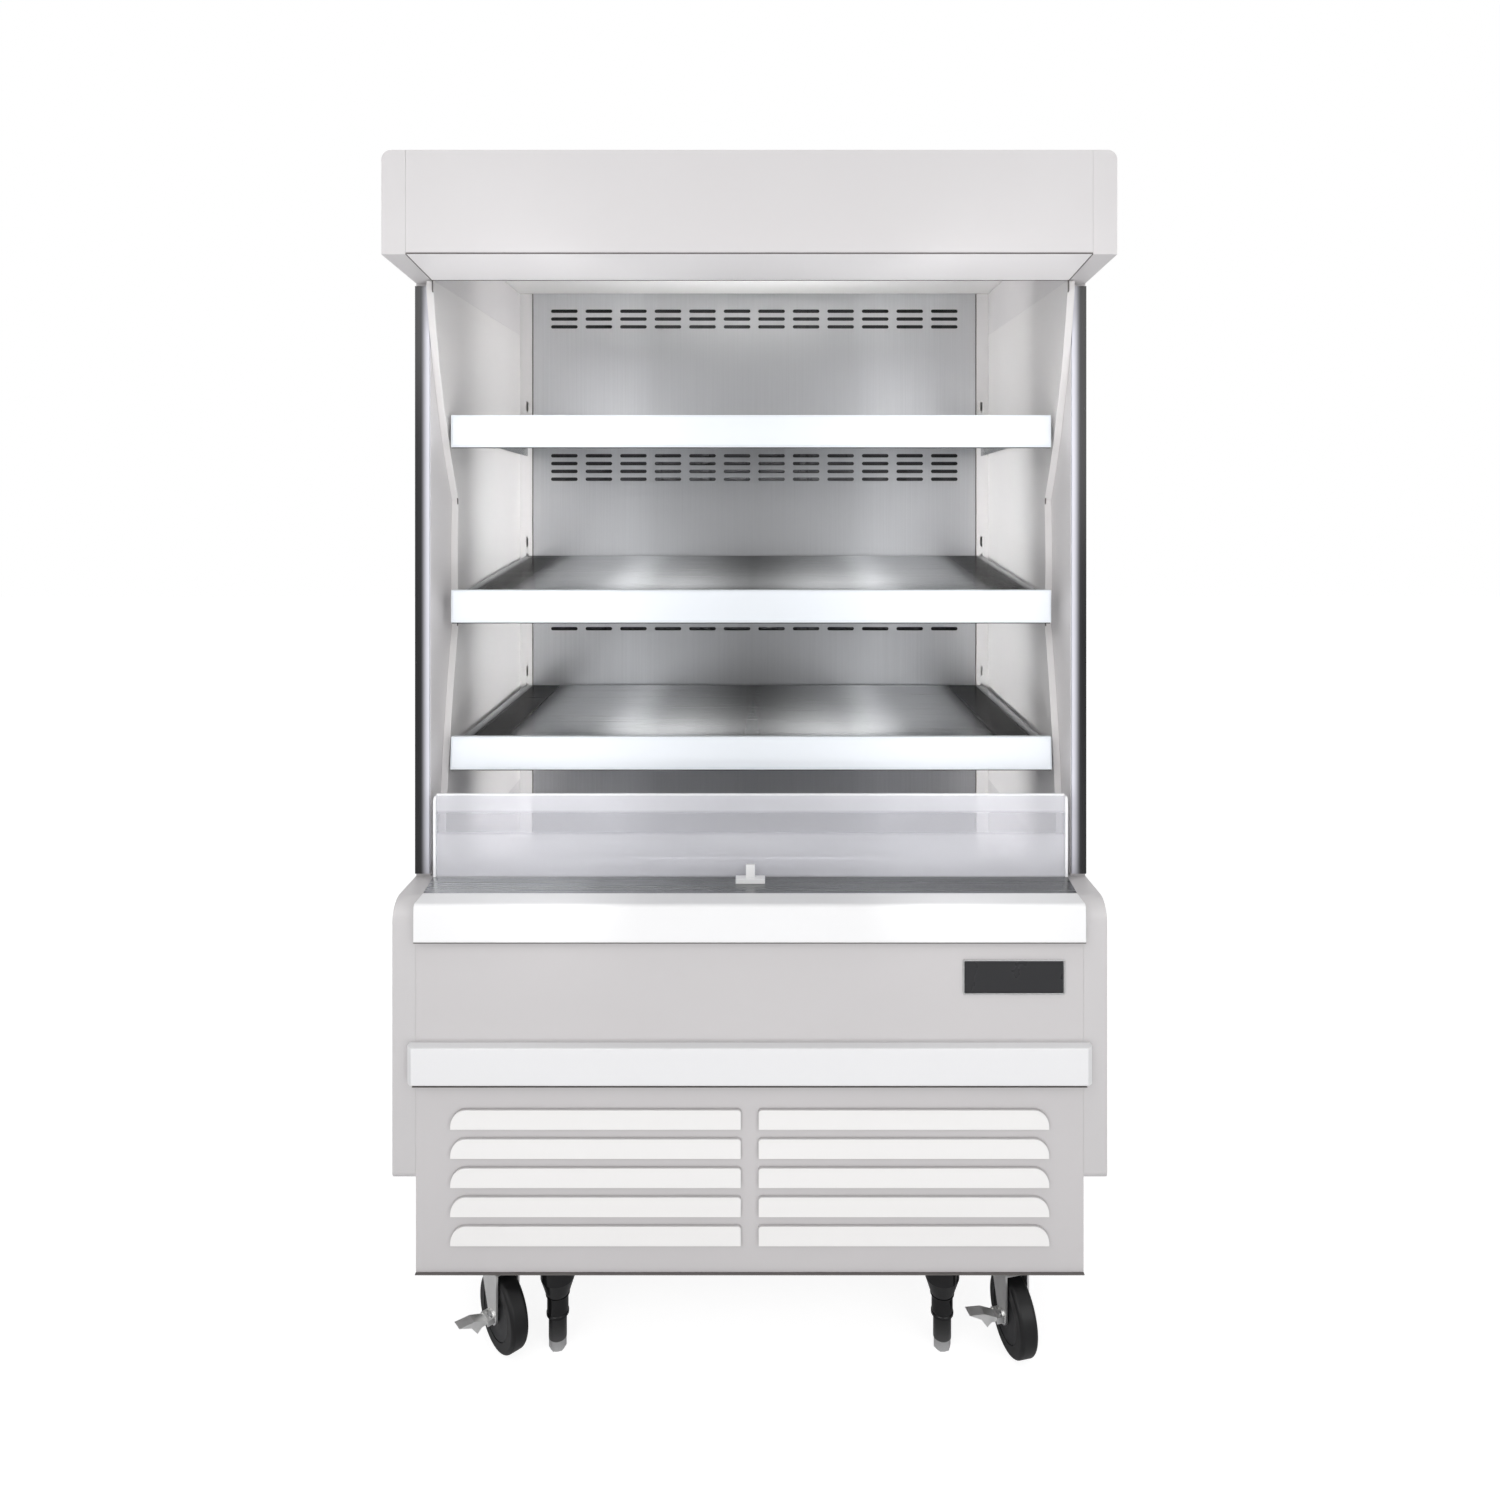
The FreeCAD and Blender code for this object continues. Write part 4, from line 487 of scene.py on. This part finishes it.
def rounded(left, right, low, high, radii, steps=6):
    """Rectangle outline with its corners rounded: radii for low-left, low-right, high-right, high-left."""
    corners = ((left, low, 180, 1, 1), (right, low, 270, -1, 1),
               (right, high, 0, -1, -1), (left, high, 90, 1, -1))
    points = []
    for (x, z, start, sx, sz), radius in zip(corners, radii):
        if radius <= 0:
            points.append((x, z))
            continue
        for k in range(steps + 1):
            angle = math.radians(start + 90 * k / steps)
            points.append((x + sx * radius + radius * math.cos(angle),
                           z + sz * radius + radius * math.sin(angle)))
    return points


# ---- louvred grille, plate and canopy ---------------------------------------------------------


def louvre_faces():
    """White pressed faces of the ten louvres, their lower edges standing out a little."""
    highest, pitch, tall = 0.4262, 0.0494, 0.0308
    near, far = 0.0153, 0.5082
    face_y, lean, back_y = -0.4001, 0.0034, -0.39965
    wide, narrow = 0.0252, 0.0052
    shape = Shape()
    for row in range(5):
        top = highest - pitch * row
        low = top - tall
        for sign in (-1, 1):
            if sign > 0:
                outline = rounded(near, far, low, top, (0, 0, wide, narrow), 10)
            else:
                outline = rounded(-far, -near, low, top, (0, 0, narrow, wide), 10)
            n = len(outline)
            front = [(x, face_y - lean * (top - z) / (top - low), z) for x, z in outline]
            back = [(x, back_y, z) for x, z in outline]
            faces = [tuple(range(n)), tuple(range(n, 2 * n))]
            faces += [(i, (i + 1) % n, n + (i + 1) % n, n + i) for i in range(n)]
            shape.add(front + back, faces)
    shape.make("louvre_faces", "louvre_white", "cabinet", bevel=0.0006, segments=2)


def blank_plate():
    """Bare dark plate in a bright rim on the front panel."""
    outer = rounded(0.363, 0.537, 0.621, 0.681, (0.003,) * 4, 4)
    inner = rounded(0.3655, 0.5345, 0.6235, 0.6785, (0.0015,) * 4, 4)
    n = len(outer)
    y0, y1 = -0.3947, -0.3972
    verts = [(x, y0, z) for x, z in outer] + [(x, y1, z) for x, z in outer]
    verts += [(x, y1, z) for x, z in inner] + [(x, y0, z) for x, z in inner]
    faces = []
    for a, b in ((0, 1), (1, 2), (2, 3), (3, 0)):
        faces += [(a * n + i, a * n + (i + 1) % n, b * n + (i + 1) % n, b * n + i) for i in range(n)]
    piece("plate_rim", verts, faces, "badge_rim", "cabinet", bevel=0.0004)
    Shape().prism(rounded(0.366, 0.534, 0.624, 0.678, (0.0015,) * 4, 4), "Y", -0.3963, -0.3947).make(
        "blank_plate", "dark_badge", "cabinet", bevel=0.0005)


def liner_edge():
    """Points (y, z) down the curved front edge of a side liner."""
    knots = (((-0.3005, 1.840), (-0.1490, 1.461), 1.130), ((-0.1490, 1.461), (-0.1490, 1.224), 1.080),
             ((-0.1490, 1.224), (-0.2340, 0.7783), 2.000))
    line = [(-0.3005, 1.8565)]
    for start, stop, radius in knots:
        a, b = Vector(start), Vector(stop)
        half = (b - a) / 2
        across = Vector((half.y, -half.x)).normalized()
        if across.x > 0:
            across = -across
        centre = (a + b) / 2 + across * math.sqrt(radius ** 2 - half.length_squared)
        first = math.atan2(a.y - centre.y, a.x - centre.x)
        last = math.atan2(b.y - centre.y, b.x - centre.x)
        for k in range(13):
            angle = first + (last - first) * k / 12
            line.append((centre.x + radius * math.cos(angle), centre.y + radius * math.sin(angle)))
    return line


def seams_and_shadow_lines():
    """Thin dark beads along the joints of the sheet metal, and painted shadow lines under the front rail,
    the bumper and the grille's lower edge.
    """
    run = Shape()
    # The last three runs are painted shadow lines under the front rail, the bumper and the grille.
    for y0, y1, z0, z1 in ((-0.4449, -0.4436, 1.8715, 1.8738), (-0.3145, -0.3128, 1.8540, 1.8556),
                           (-0.4085, -0.3960, 0.7134, 0.7147), (-0.4150, -0.3960, 0.4735, 0.4748),
                           (-0.4000, -0.3930, 0.1460, 0.1474)):
        run.prism([(y0, z0), (y1, z0), (y1, z1), (y0, z1)], "X", -INNER_HALF, INNER_HALF)
    for sign in (-1, 1):
        low, high = sorted((sign * 0.5676, sign * 0.5695))
        run.prism([(-0.4445, 1.8722), (-0.4445, 1.8706), (-0.3145, 1.8546), (-0.3145, 1.8562)],
                  "X", low, high)
    for sign in (-1, 1):
        low, high = sorted((sign * 0.5376, sign * 0.5398))
        run.prism([(low, 0.3507), (high, 0.3507), (high, 0.3520), (low, 0.3520)], "Z", 0.6345, 1.9575)
    run.make("joint_and_shadow_beads", "bead_dark", "cabinet")
    line = liner_edge()
    for side, sign in (("left", -1), ("right", 1)):
        verts = []
        for y, z in line:
            for x, out in ((0.5698, 0.0003), (0.5698, 0.0016), (0.5722, 0.0016), (0.5722, 0.0003)):
                verts.append((sign * x, y - out, z))
        n = len(line)
        faces = [(0, 1, 2, 3), (4 * n - 4, 4 * n - 3, 4 * n - 2, 4 * n - 1)]
        for i in range(n - 1):
            for k in range(4):
                a, b = 4 * i + k, 4 * i + (k + 1) % 4
                faces.append((a, b, b + 4, a + 4))
        piece("liner_gasket_" + side, verts, faces, "bead_dark", "cabinet", smooth=50)


def duct_shade_sheet():
    """Dark pressed sheet at the back of the air duct behind the slotted back panel: painted shade seen
    through the slots.
    """
    half, lip, wall, ridge = 0.532, 0.3925, 0.3938, 0.3900
    first, pitch, foot, crest = -0.48, 0.12, 0.014, 0.008
    line = [(-half, lip), (-half, wall)]
    for k in range(9):
        x = first + pitch * k
        line += [(x - foot, wall), (x - crest, ridge), (x + crest, ridge), (x + foot, wall)]
    line += [(half, wall), (half, lip)]
    n = len(line)
    verts = [(x, y, z) for z in (0.66, 1.93) for x, y in line]
    faces = [(i, i + 1, n + i + 1, n + i) for i in range(n - 1)]
    made = piece("duct_shade_sheet", verts, faces, "duct_painted_shade", "cabinet")
    thick = made.modifiers.new("sheet", "SOLIDIFY")
    thick.thickness = 0.0004


def lamp_tube():
    """Opal tube over the canopy lamp, tapered at its ends."""
    half, radius, taper = 0.5092, 0.0084, 0.003
    profile = [(0, -half), (radius * 0.7, -half), (radius, -half + taper), (radius, half - taper),
               (radius * 0.7, half), (0, half)]
    tube = Shape().lathe(profile, (0, -0.3395, 1.891), ALONG_X, 32)
    tube.make("lamp_tube", "lamp_opal", "cabinet", smooth=40)


# ---- price rails ------------------------------------------------------------------------------


def price_rails():
    """Lips, strip and painted shadow line of each price rail, drawn in the shelf's own tilted frame."""
    for name, high, tilt in SHELVES:
        c, s = math.cos(math.radians(tilt)), math.sin(math.radians(tilt))

        def world(pairs):
            return [(SHELF_PIVOT_Y + y * c - z * s, high + y * s + z * c) for y, z in pairs]

        def face(z):
            return -0.5733 - 0.005 * (0.010 - z) / 0.060

        half, shadow = 0.5598, face(-0.05) - 0.0015
        lips = Shape()
        for z0, z1 in ((0.0078, 0.0100), (-0.0500, -0.0472)):
            lips.prism(world([(face(z0) - 0.0003, z0), (face(z0) - 0.0021, z0),
                              (face(z1) - 0.0021, z1), (face(z1) - 0.0003, z1)]), "X", -half, half)
        lips.make("rail_lips_" + name, "price_rail", "shelf_" + name, bevel=0.0005)
        curve = []
        for k in range(9):
            t = k / 8
            z = 0.0075 - 0.0544 * t
            curve.append((face(z) - 0.0004 - 0.0014 * math.sin(math.pi * t) - 0.0004, z))
        back = [(face(z) - 0.0003, z) for z in (-0.0469, 0.0075)]
        strip = Shape().prism(world(curve + back), "X", -half + 0.001, half - 0.001)
        strip.make("rail_strip_" + name, "price_rail", "shelf_" + name, smooth=40)
        # A dark strip under the rail: painted shadow.
        under = Shape().prism(world([(shadow, -0.0503), (shadow, -0.0518),
                                     (-0.5668, -0.0518), (-0.5668, -0.0503)]), "X", -half, half)
        under.make("rail_shadow_line_" + name, "shadow_and_cap_dark", "shelf_" + name)
        ends = Shape()
        for sign in (-1, 1):
            low, top = sorted((sign * half, sign * (half + 0.0015)))
            ends.prism(world([(-0.5664, 0.0100), (face(0.01) - 0.002, 0.0100),
                              (face(-0.05) - 0.002, -0.0500), (-0.5664, -0.0500)]), "X", low, top)
        ends.make("rail_ends_" + name, "price_rail", "shelf_" + name, bevel=0.0004)


# ---- glass guard ------------------------------------------------------------------------------


def glass_trim():
    """Ground top edge of the guard, drawn opaque white as its own frosting and a painted highlight, and
    the white channels at its ends.
    """
    edge = []
    for k in range(7):
        angle = math.pi * k / 6
        edge.append((-0.296 + 0.0032 * math.cos(angle), 0.9332 + 0.0010 * math.sin(angle)))
    edge += [(-0.2992, 0.9318), (-0.2928, 0.9318)]
    Shape().prism(edge, "X", -0.5645, 0.5645).make("glass_edge", "return_white", "cabinet", smooth=60)
    clips = Shape()
    for sign in (-1, 1):
        low, top = sorted((sign * 0.5648, sign * INNER_HALF))
        clips.prism(rounded(-0.304, -0.288, 0.786, 0.930, (0.001, 0.001, 0.007, 0.007), 5), "X", low, top)
    clips.make("glass_channels", "return_white", "cabinet", bevel=0.0006)


# ---- casters and legs -------------------------------------------------------------------------


def hexagon(radius, turn=0):
    """Corner points of a hexagon, its first corner turned by some degrees."""
    angles = [math.radians(60 * k + turn) for k in range(6)]
    return [(radius * math.cos(angle), radius * math.sin(angle)) for angle in angles]


def turned(points, x, y, yaw):
    """Points turned by yaw degrees about Z and then moved to x, y."""
    spin = Matrix.Rotation(math.radians(yaw), 3, "Z")
    return [spin @ Vector(p) + Vector((x, y, 0)) for p in points]


def place_shape(shape, x, y, yaw):
    """Set a shape that was drawn at the origin in its place, turned by yaw degrees."""
    shape.verts = turned(shape.verts, x, y, yaw)
    return shape


def caster_details():
    """Wheel cores, axle nuts, race covers and plate bolts, drawn at the swivel axis and set in place."""
    profile = [(0.0128, 0.0118), (0.0128, 0.0150), (0.017, 0.0142), (0.030, 0.0128), (0.0385, 0.0138),
               (0.0422, 0.0152), (0.0422, 0.0118)]
    hub = (0, WHEEL_TRAIL, WHEEL_RADIUS)
    for corner, x, y, yaw in CASTERS:
        core = Shape()
        for sign in (-1, 1):
            core.lathe([(r, sign * a) for r, a in profile], hub, ALONG_X, 64)
        place_shape(core, x, y, yaw).make("wheel_core_" + corner, "caster_core", "wheel_" + corner,
                                          smooth=35)
        nuts = Shape()
        for sign in (-1, 1):
            low, high = sorted((sign * 0.0252, sign * 0.0305))
            flats = [(WHEEL_TRAIL + a, WHEEL_RADIUS + b) for a, b in hexagon(0.0078, 15)]
            nuts.prism(flats, "X", low, high)
            low, high = sorted((sign * 0.0305, sign * 0.0330))
            stud, step = 0.0042, 0.5236
            nuts.prism([(WHEEL_TRAIL + stud * math.cos(t * step), WHEEL_RADIUS + stud * math.sin(t * step))
                        for t in range(12)], "X", low, high)
        place_shape(nuts, x, y, yaw).make("axle_nuts_" + corner, "screw_steel", "swivel_" + corner,
                                          bevel=0.0006)
        race = Shape().lathe([(0.0235, 0.1425), (0.0283, 0.1432), (0.0290, 0.1462), (0.0272, 0.1486),
                              (0.0235, 0.1486)], (0, 0, 0), ALONG_Z, 48)
        place_shape(race, x, y, yaw).make("race_cover_" + corner, "caster_zinc", "swivel_" + corner,
                                          smooth=50)
        bolts = Shape()
        for sx in (-1, 1):
            for sy in (-1, 1):
                cx, cy = sx * 0.037, sy * 0.031
                bolts.prism([(cx + a, cy + b) for a, b in hexagon(0.0072)], "Z", 0.1502, 0.1546)
                bolts.lathe([(0, 0.1547), (0.0095, 0.1547), (0.0095, 0.1558), (0, 0.1558)], (cx, cy, 0),
                            ALONG_Z, 24)
        place_shape(bolts, x, y, 0).make("plate_bolts_" + corner, "screw_steel", "cabinet", bevel=0.0005)


def leg_details():
    """Hexagon at the tip of each foot and the collars of its socket."""
    for side, x in LEGS:
        flats = [(x + a, LEG_Y + b) for a, b in hexagon(0.0153, 8)]
        Shape().prism(flats, "Z", 0.0003, 0.0178).make("foot_hex_" + side, "foot_chrome", "foot_" + side,
                                                       bevel=0.0011, segments=3)
        collar = Shape().lathe([(0.0184, 0.0575), (0.0193, 0.0582), (0.0193, 0.0622), (0.0184, 0.0632)],
                               (x, LEG_Y, 0), ALONG_Z, 48)
        collar.lathe([(0.0184, 0.0905), (0.0205, 0.0918), (0.0208, 0.0936), (0.0184, 0.0939)],
                     (x, LEG_Y, 0), ALONG_Z, 48)
        collar.make("leg_collar_" + side, "leg_black", "cabinet", smooth=40)


# ---- night curtain ----------------------------------------------------------------------------


def curtain():
    """Free stretch of cloth from the roller to the bar, and the bar's grip and end caps."""
    across, down = 110, 12
    half, top, low = 0.545, ROLLER_Z, 1.8885
    verts = []
    for j in range(down + 1):
        z = top - (top - low) * j / down
        for i in range(across + 1):
            x = -half + 2 * half * i / across
            ripple = 0.00035 * math.sin(x * 37) * math.sin(math.pi * j / down)
            verts.append((x, -0.30755 + ripple, z))
    row = across + 1
    faces = [(j * row + i, j * row + i + 1, (j + 1) * row + i + 1, (j + 1) * row + i)
             for j in range(down) for i in range(across)]
    cloth = piece("curtain_cloth", verts, faces, "curtain_cloth", "cabinet", smooth=60)
    cloth.parent = None
    thick = cloth.modifiers.new("cloth", "SOLIDIFY")
    thick.thickness = 0.0004
    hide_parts("curtain_fabric")
    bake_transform(cloth)
    grip = Shape()
    grip.prism([(-0.3130, 1.8700), (-0.3150, 1.8690), (-0.3160, 1.8705), (-0.3160, 1.8725),
                (-0.3130, 1.8760)], "X", -0.09, 0.09)
    grip.make("curtain_grip", "bar_alloy", "curtain_bar", bevel=0.0005)
    caps = Shape()
    for sign in (-1, 1):
        low_x, high_x = sorted((sign * 0.5552, sign * 0.5590))
        caps.prism(rounded(-0.3133, -0.3007, 1.8677, 1.8903, (0.002,) * 4, 4), "X", low_x, high_x)
    caps.make("curtain_bar_caps", "shadow_and_cap_dark", "curtain_bar", bevel=0.0006)


def curtain_roll():
    """The wound cloth on its tube; its turns show as fine steps at both ends."""
    half, out, tube = 0.553, 0.0279, 0.0075
    left = []
    for k in range(10):
        near = tube + (out - tube) * k / 10
        level = -half + (0.0007 if k % 2 else 0.0001)
        left += [(near, level), (near + (out - tube) / 10 - 0.0001, level)]
    ring = left + [(r, -x) for r, x in reversed(left)]
    axle = (0, ROLLER_Y, ROLLER_Z)
    wound = Shape().lathe(ring, axle, ALONG_X, 96).make("wound_curtain", "curtain_cloth", "curtain_roller",
                                                        smooth=30)
    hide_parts("curtain_roller")
    ends = Shape()
    for sign in (-1, 1):
        profile = [(0, 0.5500), (tube, 0.5500), (tube, 0.5532), (0.0059, 0.5534), (0.0059, 0.5635),
                   (0.0054, 0.5639), (0, 0.5639)]
        ends.lathe([(r, sign * x) for r, x in profile], axle, ALONG_X, 48)
    ends.make("roller_tube_ends", "bar_alloy", "curtain_roller", smooth=30)


# ---- machinery --------------------------------------------------------------------------------


def machinery():
    """Flange, terminal cover and mounts of the compressor, and the return bends of both coils."""
    cx, cy = -0.290, 0.1155
    shape = Shape().lathe([(0.0884, 0.262), (0.0925, 0.264), (0.0925, 0.270), (0.0884, 0.272)],
                          (cx, cy, 0), ALONG_Z, 64)
    shape.make("compressor_flange", "compressor_black", "cabinet", smooth=40)
    cover = Shape().prism(rounded(cy - 0.030, cy + 0.030, 0.230, 0.300, (0.006,) * 4, 4), "X",
                          cx - 0.120, cx - 0.0885)
    cover.make("terminal_cover", "fan_black", "cabinet", bevel=0.003)
    feet = Shape()
    for sx in (-1, 1):
        for sy in (-1, 1):
            feet.lathe([(0.004, 0.1730), (0.012, 0.1730), (0.014, 0.1765), (0.012, 0.1800),
                        (0.004, 0.1800)], (cx + sx * 0.088, cy + sy * 0.045, 0), ALONG_Z, 32)
    feet.make("compressor_mounts", "gland_rubber", "cabinet", smooth=40)
    for name, ends, y0, rows, step, z0, radius in (
            ("condenser_bends", (0.3702,), -0.3145, 8, 0.031, 0.1985, 0.0045),
            ("evaporator_bends", (0.4702, -0.4702), 0.070, 5, 0.0300, 0.5660, 0.0045)):
        data = bpy.data.curves.new(name, "CURVE")
        data.dimensions = "3D"
        data.bevel_depth = radius
        data.bevel_resolution = 4
        bend, points, clear = 0.0105, 11, 0.004
        for end in ends:
            out = math.copysign(1, end)
            for k in range(rows):
                spline = data.splines.new("POLY")
                spline.points.add(points - 1)
                for t in range(points):
                    angle = math.pi * t / (points - 1)
                    along = -bend * math.cos(angle)
                    reach = end + out * (clear + bend * math.sin(angle))
                    if name == "condenser_bends":
                        spot = (reach, y0, z0 + step * k + along)
                    else:
                        spot = (reach, y0 + step * k + along, z0)
                    spline.points[t].co = (*spot, 1)
        made = bpy.data.objects.new(name, data)
        bpy.context.scene.collection.objects.link(made)
        data.materials.append(M["copper"].mat)
        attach(made, "cabinet")


louvre_faces()
blank_plate()
seams_and_shadow_lines()
duct_shade_sheet()
lamp_tube()
price_rails()
glass_trim()
caster_details()
leg_details()
curtain()
curtain_roll()
machinery()

# ---- stage, light and camera ------------------------------------------------------------------


def stage():
    """White floor plane that the cabinet stands on."""
    floor = bpy.data.meshes.new("floor")
    size = 12
    corners = [(-size, -size, 0), (size, -size, 0), (size, size, 0), (-size, size, 0)]
    floor.from_pydata(corners, [], [(0, 1, 2, 3)])
    made = bpy.data.objects.new("floor", floor)
    bpy.context.scene.collection.objects.link(made)
    mat = bpy.data.materials.new("floor")
    mat.use_nodes = True
    tree = mat.node_tree
    tree.nodes.clear()
    out = tree.nodes.new("ShaderNodeOutputMaterial")
    mix = tree.nodes.new("ShaderNodeMixShader")
    path = tree.nodes.new("ShaderNodeLightPath")
    plain = tree.nodes.new("ShaderNodeBsdfDiffuse")
    plain.inputs["Color"].default_value = (0.72, 0.72, 0.73, 1)
    soft = tree.nodes.new("ShaderNodeBsdfDiffuse")
    soft.inputs["Color"].default_value = (0.34, 0.34, 0.34, 1)
    glow = tree.nodes.new("ShaderNodeEmission")
    glow.inputs["Color"].default_value = (1, 1, 1, 1)
    glow.inputs["Strength"].default_value = 0.86
    both = tree.nodes.new("ShaderNodeAddShader")
    tree.links.new(soft.outputs[0], both.inputs[0])
    tree.links.new(glow.outputs[0], both.inputs[1])
    tree.links.new(path.outputs["Is Camera Ray"], mix.inputs[0])
    tree.links.new(plain.outputs[0], mix.inputs[1])
    tree.links.new(both.outputs[0], mix.inputs[2])
    tree.links.new(mix.outputs[0], out.inputs["Surface"])
    floor.materials.append(mat)


def world():
    """White to the camera; to reflections a studio that is bright overhead and dimmer at eye level."""
    made = bpy.data.worlds.new("studio")
    bpy.context.scene.world = made
    made.use_nodes = True
    tree = made.node_tree
    tree.nodes.clear()
    out = tree.nodes.new("ShaderNodeOutputWorld")
    path = tree.nodes.new("ShaderNodeLightPath")
    coords = tree.nodes.new("ShaderNodeTexCoord")
    split = tree.nodes.new("ShaderNodeSeparateXYZ")
    ramp = tree.nodes.new("ShaderNodeValToRGB")
    ramp.color_ramp.elements[0].position = 0.42
    ramp.color_ramp.elements[0].color = (0.84, 0.84, 0.86, 1)
    ramp.color_ramp.elements[1].position = 0.80
    ramp.color_ramp.elements[1].color = (0.95, 0.95, 0.95, 1)
    half = tree.nodes.new("ShaderNodeMath")
    half.operation = "MULTIPLY_ADD"
    half.inputs[1].default_value = 0.5
    half.inputs[2].default_value = 0.5
    ambient = tree.nodes.new("ShaderNodeBackground")
    ambient.inputs["Color"].default_value = (1, 1, 1, 1)
    ambient.inputs["Strength"].default_value = 0.53
    mirror = tree.nodes.new("ShaderNodeBackground")
    mirror.inputs["Strength"].default_value = 0.8
    white = tree.nodes.new("ShaderNodeBackground")
    white.inputs["Color"].default_value = (1, 1, 1, 1)
    white.inputs["Strength"].default_value = 1.0
    first = tree.nodes.new("ShaderNodeMixShader")
    second = tree.nodes.new("ShaderNodeMixShader")
    third = tree.nodes.new("ShaderNodeMixShader")
    tree.links.new(coords.outputs["Generated"], split.inputs[0])
    tree.links.new(split.outputs["Z"], half.inputs[0])
    tree.links.new(half.outputs[0], ramp.inputs[0])
    tree.links.new(ramp.outputs[0], mirror.inputs["Color"])
    tree.links.new(path.outputs["Is Glossy Ray"], first.inputs[0])
    tree.links.new(ambient.outputs[0], first.inputs[1])
    tree.links.new(mirror.outputs[0], first.inputs[2])
    tree.links.new(path.outputs["Is Transmission Ray"], second.inputs[0])
    tree.links.new(first.outputs[0], second.inputs[1])
    tree.links.new(white.outputs[0], second.inputs[2])
    tree.links.new(path.outputs["Is Camera Ray"], third.inputs[0])
    tree.links.new(second.outputs[0], third.inputs[1])
    tree.links.new(white.outputs[0], third.inputs[2])
    tree.links.new(third.outputs[0], out.inputs["Surface"])


def area(name, place, target, width, height, power, shine=True, spread=180):
    """Lamp hidden from the camera; shine says whether reflections show it."""
    data = bpy.data.lights.new(name, "AREA")
    data.spread = math.radians(spread)
    data.shape = "RECTANGLE"
    data.size = width
    data.size_y = height
    data.energy = power
    made = bpy.data.objects.new(name, data)
    made.location = place
    made.rotation_euler = (Vector(target) - Vector(place)).to_track_quat("-Z", "Y").to_euler()
    made.visible_camera = False
    made.visible_glossy = shine
    bpy.context.scene.collection.objects.link(made)


stage()
world()
area("key", (-1.9, -3.6, 3.1), (0, 0, 1.1), 2.4, 2.4, 34)
area("fill", (2.2, -3.6, 2.4), (0, 0, 1.0), 2.4, 2.4, 30)
area("canopy", (0, -0.66, 1.50), (0, -0.36, 1.88), 1.1, 0.12, 0.7, False)
area("end_left", (-0.30, -0.52, 1.30), (-0.58, -0.24, 1.30), 0.14, 1.0, 0.7, False)
area("end_right", (0.30, -0.52, 1.30), (0.58, -0.24, 1.30), 0.14, 1.0, 0.7, False)
area("top", (0, -0.6, 4.2), (0, 0, 1.0), 3.0, 2.4, 14)
area("bounce", (0, -1.7, 0.06), (0, -0.35, 1.86), 3.0, 1.2, 24, False)
for name, z, tall, power in (("upper", 1.755, 0.12, 4.0), ("middle", 1.445, 0.14, 8.0),
                             ("lower", 1.125, 0.14, 7.0), ("deck", 0.85, 0.12, 8.0)):
    area("inside_" + name, (0, -0.20, z), (0, 0.35, z), 0.45, tall, power, False, 155)

# The photo's camera: its focal length is in pixels of the photo.
SENSOR, FOCAL_PIXELS, PHOTO_PIXELS = 36, 1026.5, 1500
lens = bpy.data.cameras.new("camera")
lens.sensor_width = SENSOR
lens.lens = SENSOR * FOCAL_PIXELS / PHOTO_PIXELS
lens.shift_x = -0.010
lens.shift_y = -0.1733
lens.clip_start = 0.05
camera = bpy.data.objects.new("camera", lens)
camera.location = (0.026, -2.1445, 1.4806)
camera.rotation_euler = (math.radians(90), 0, 0)
bpy.context.scene.collection.objects.link(camera)
bpy.context.scene.camera = camera
bpy.context.scene.view_settings.view_transform = "Standard"
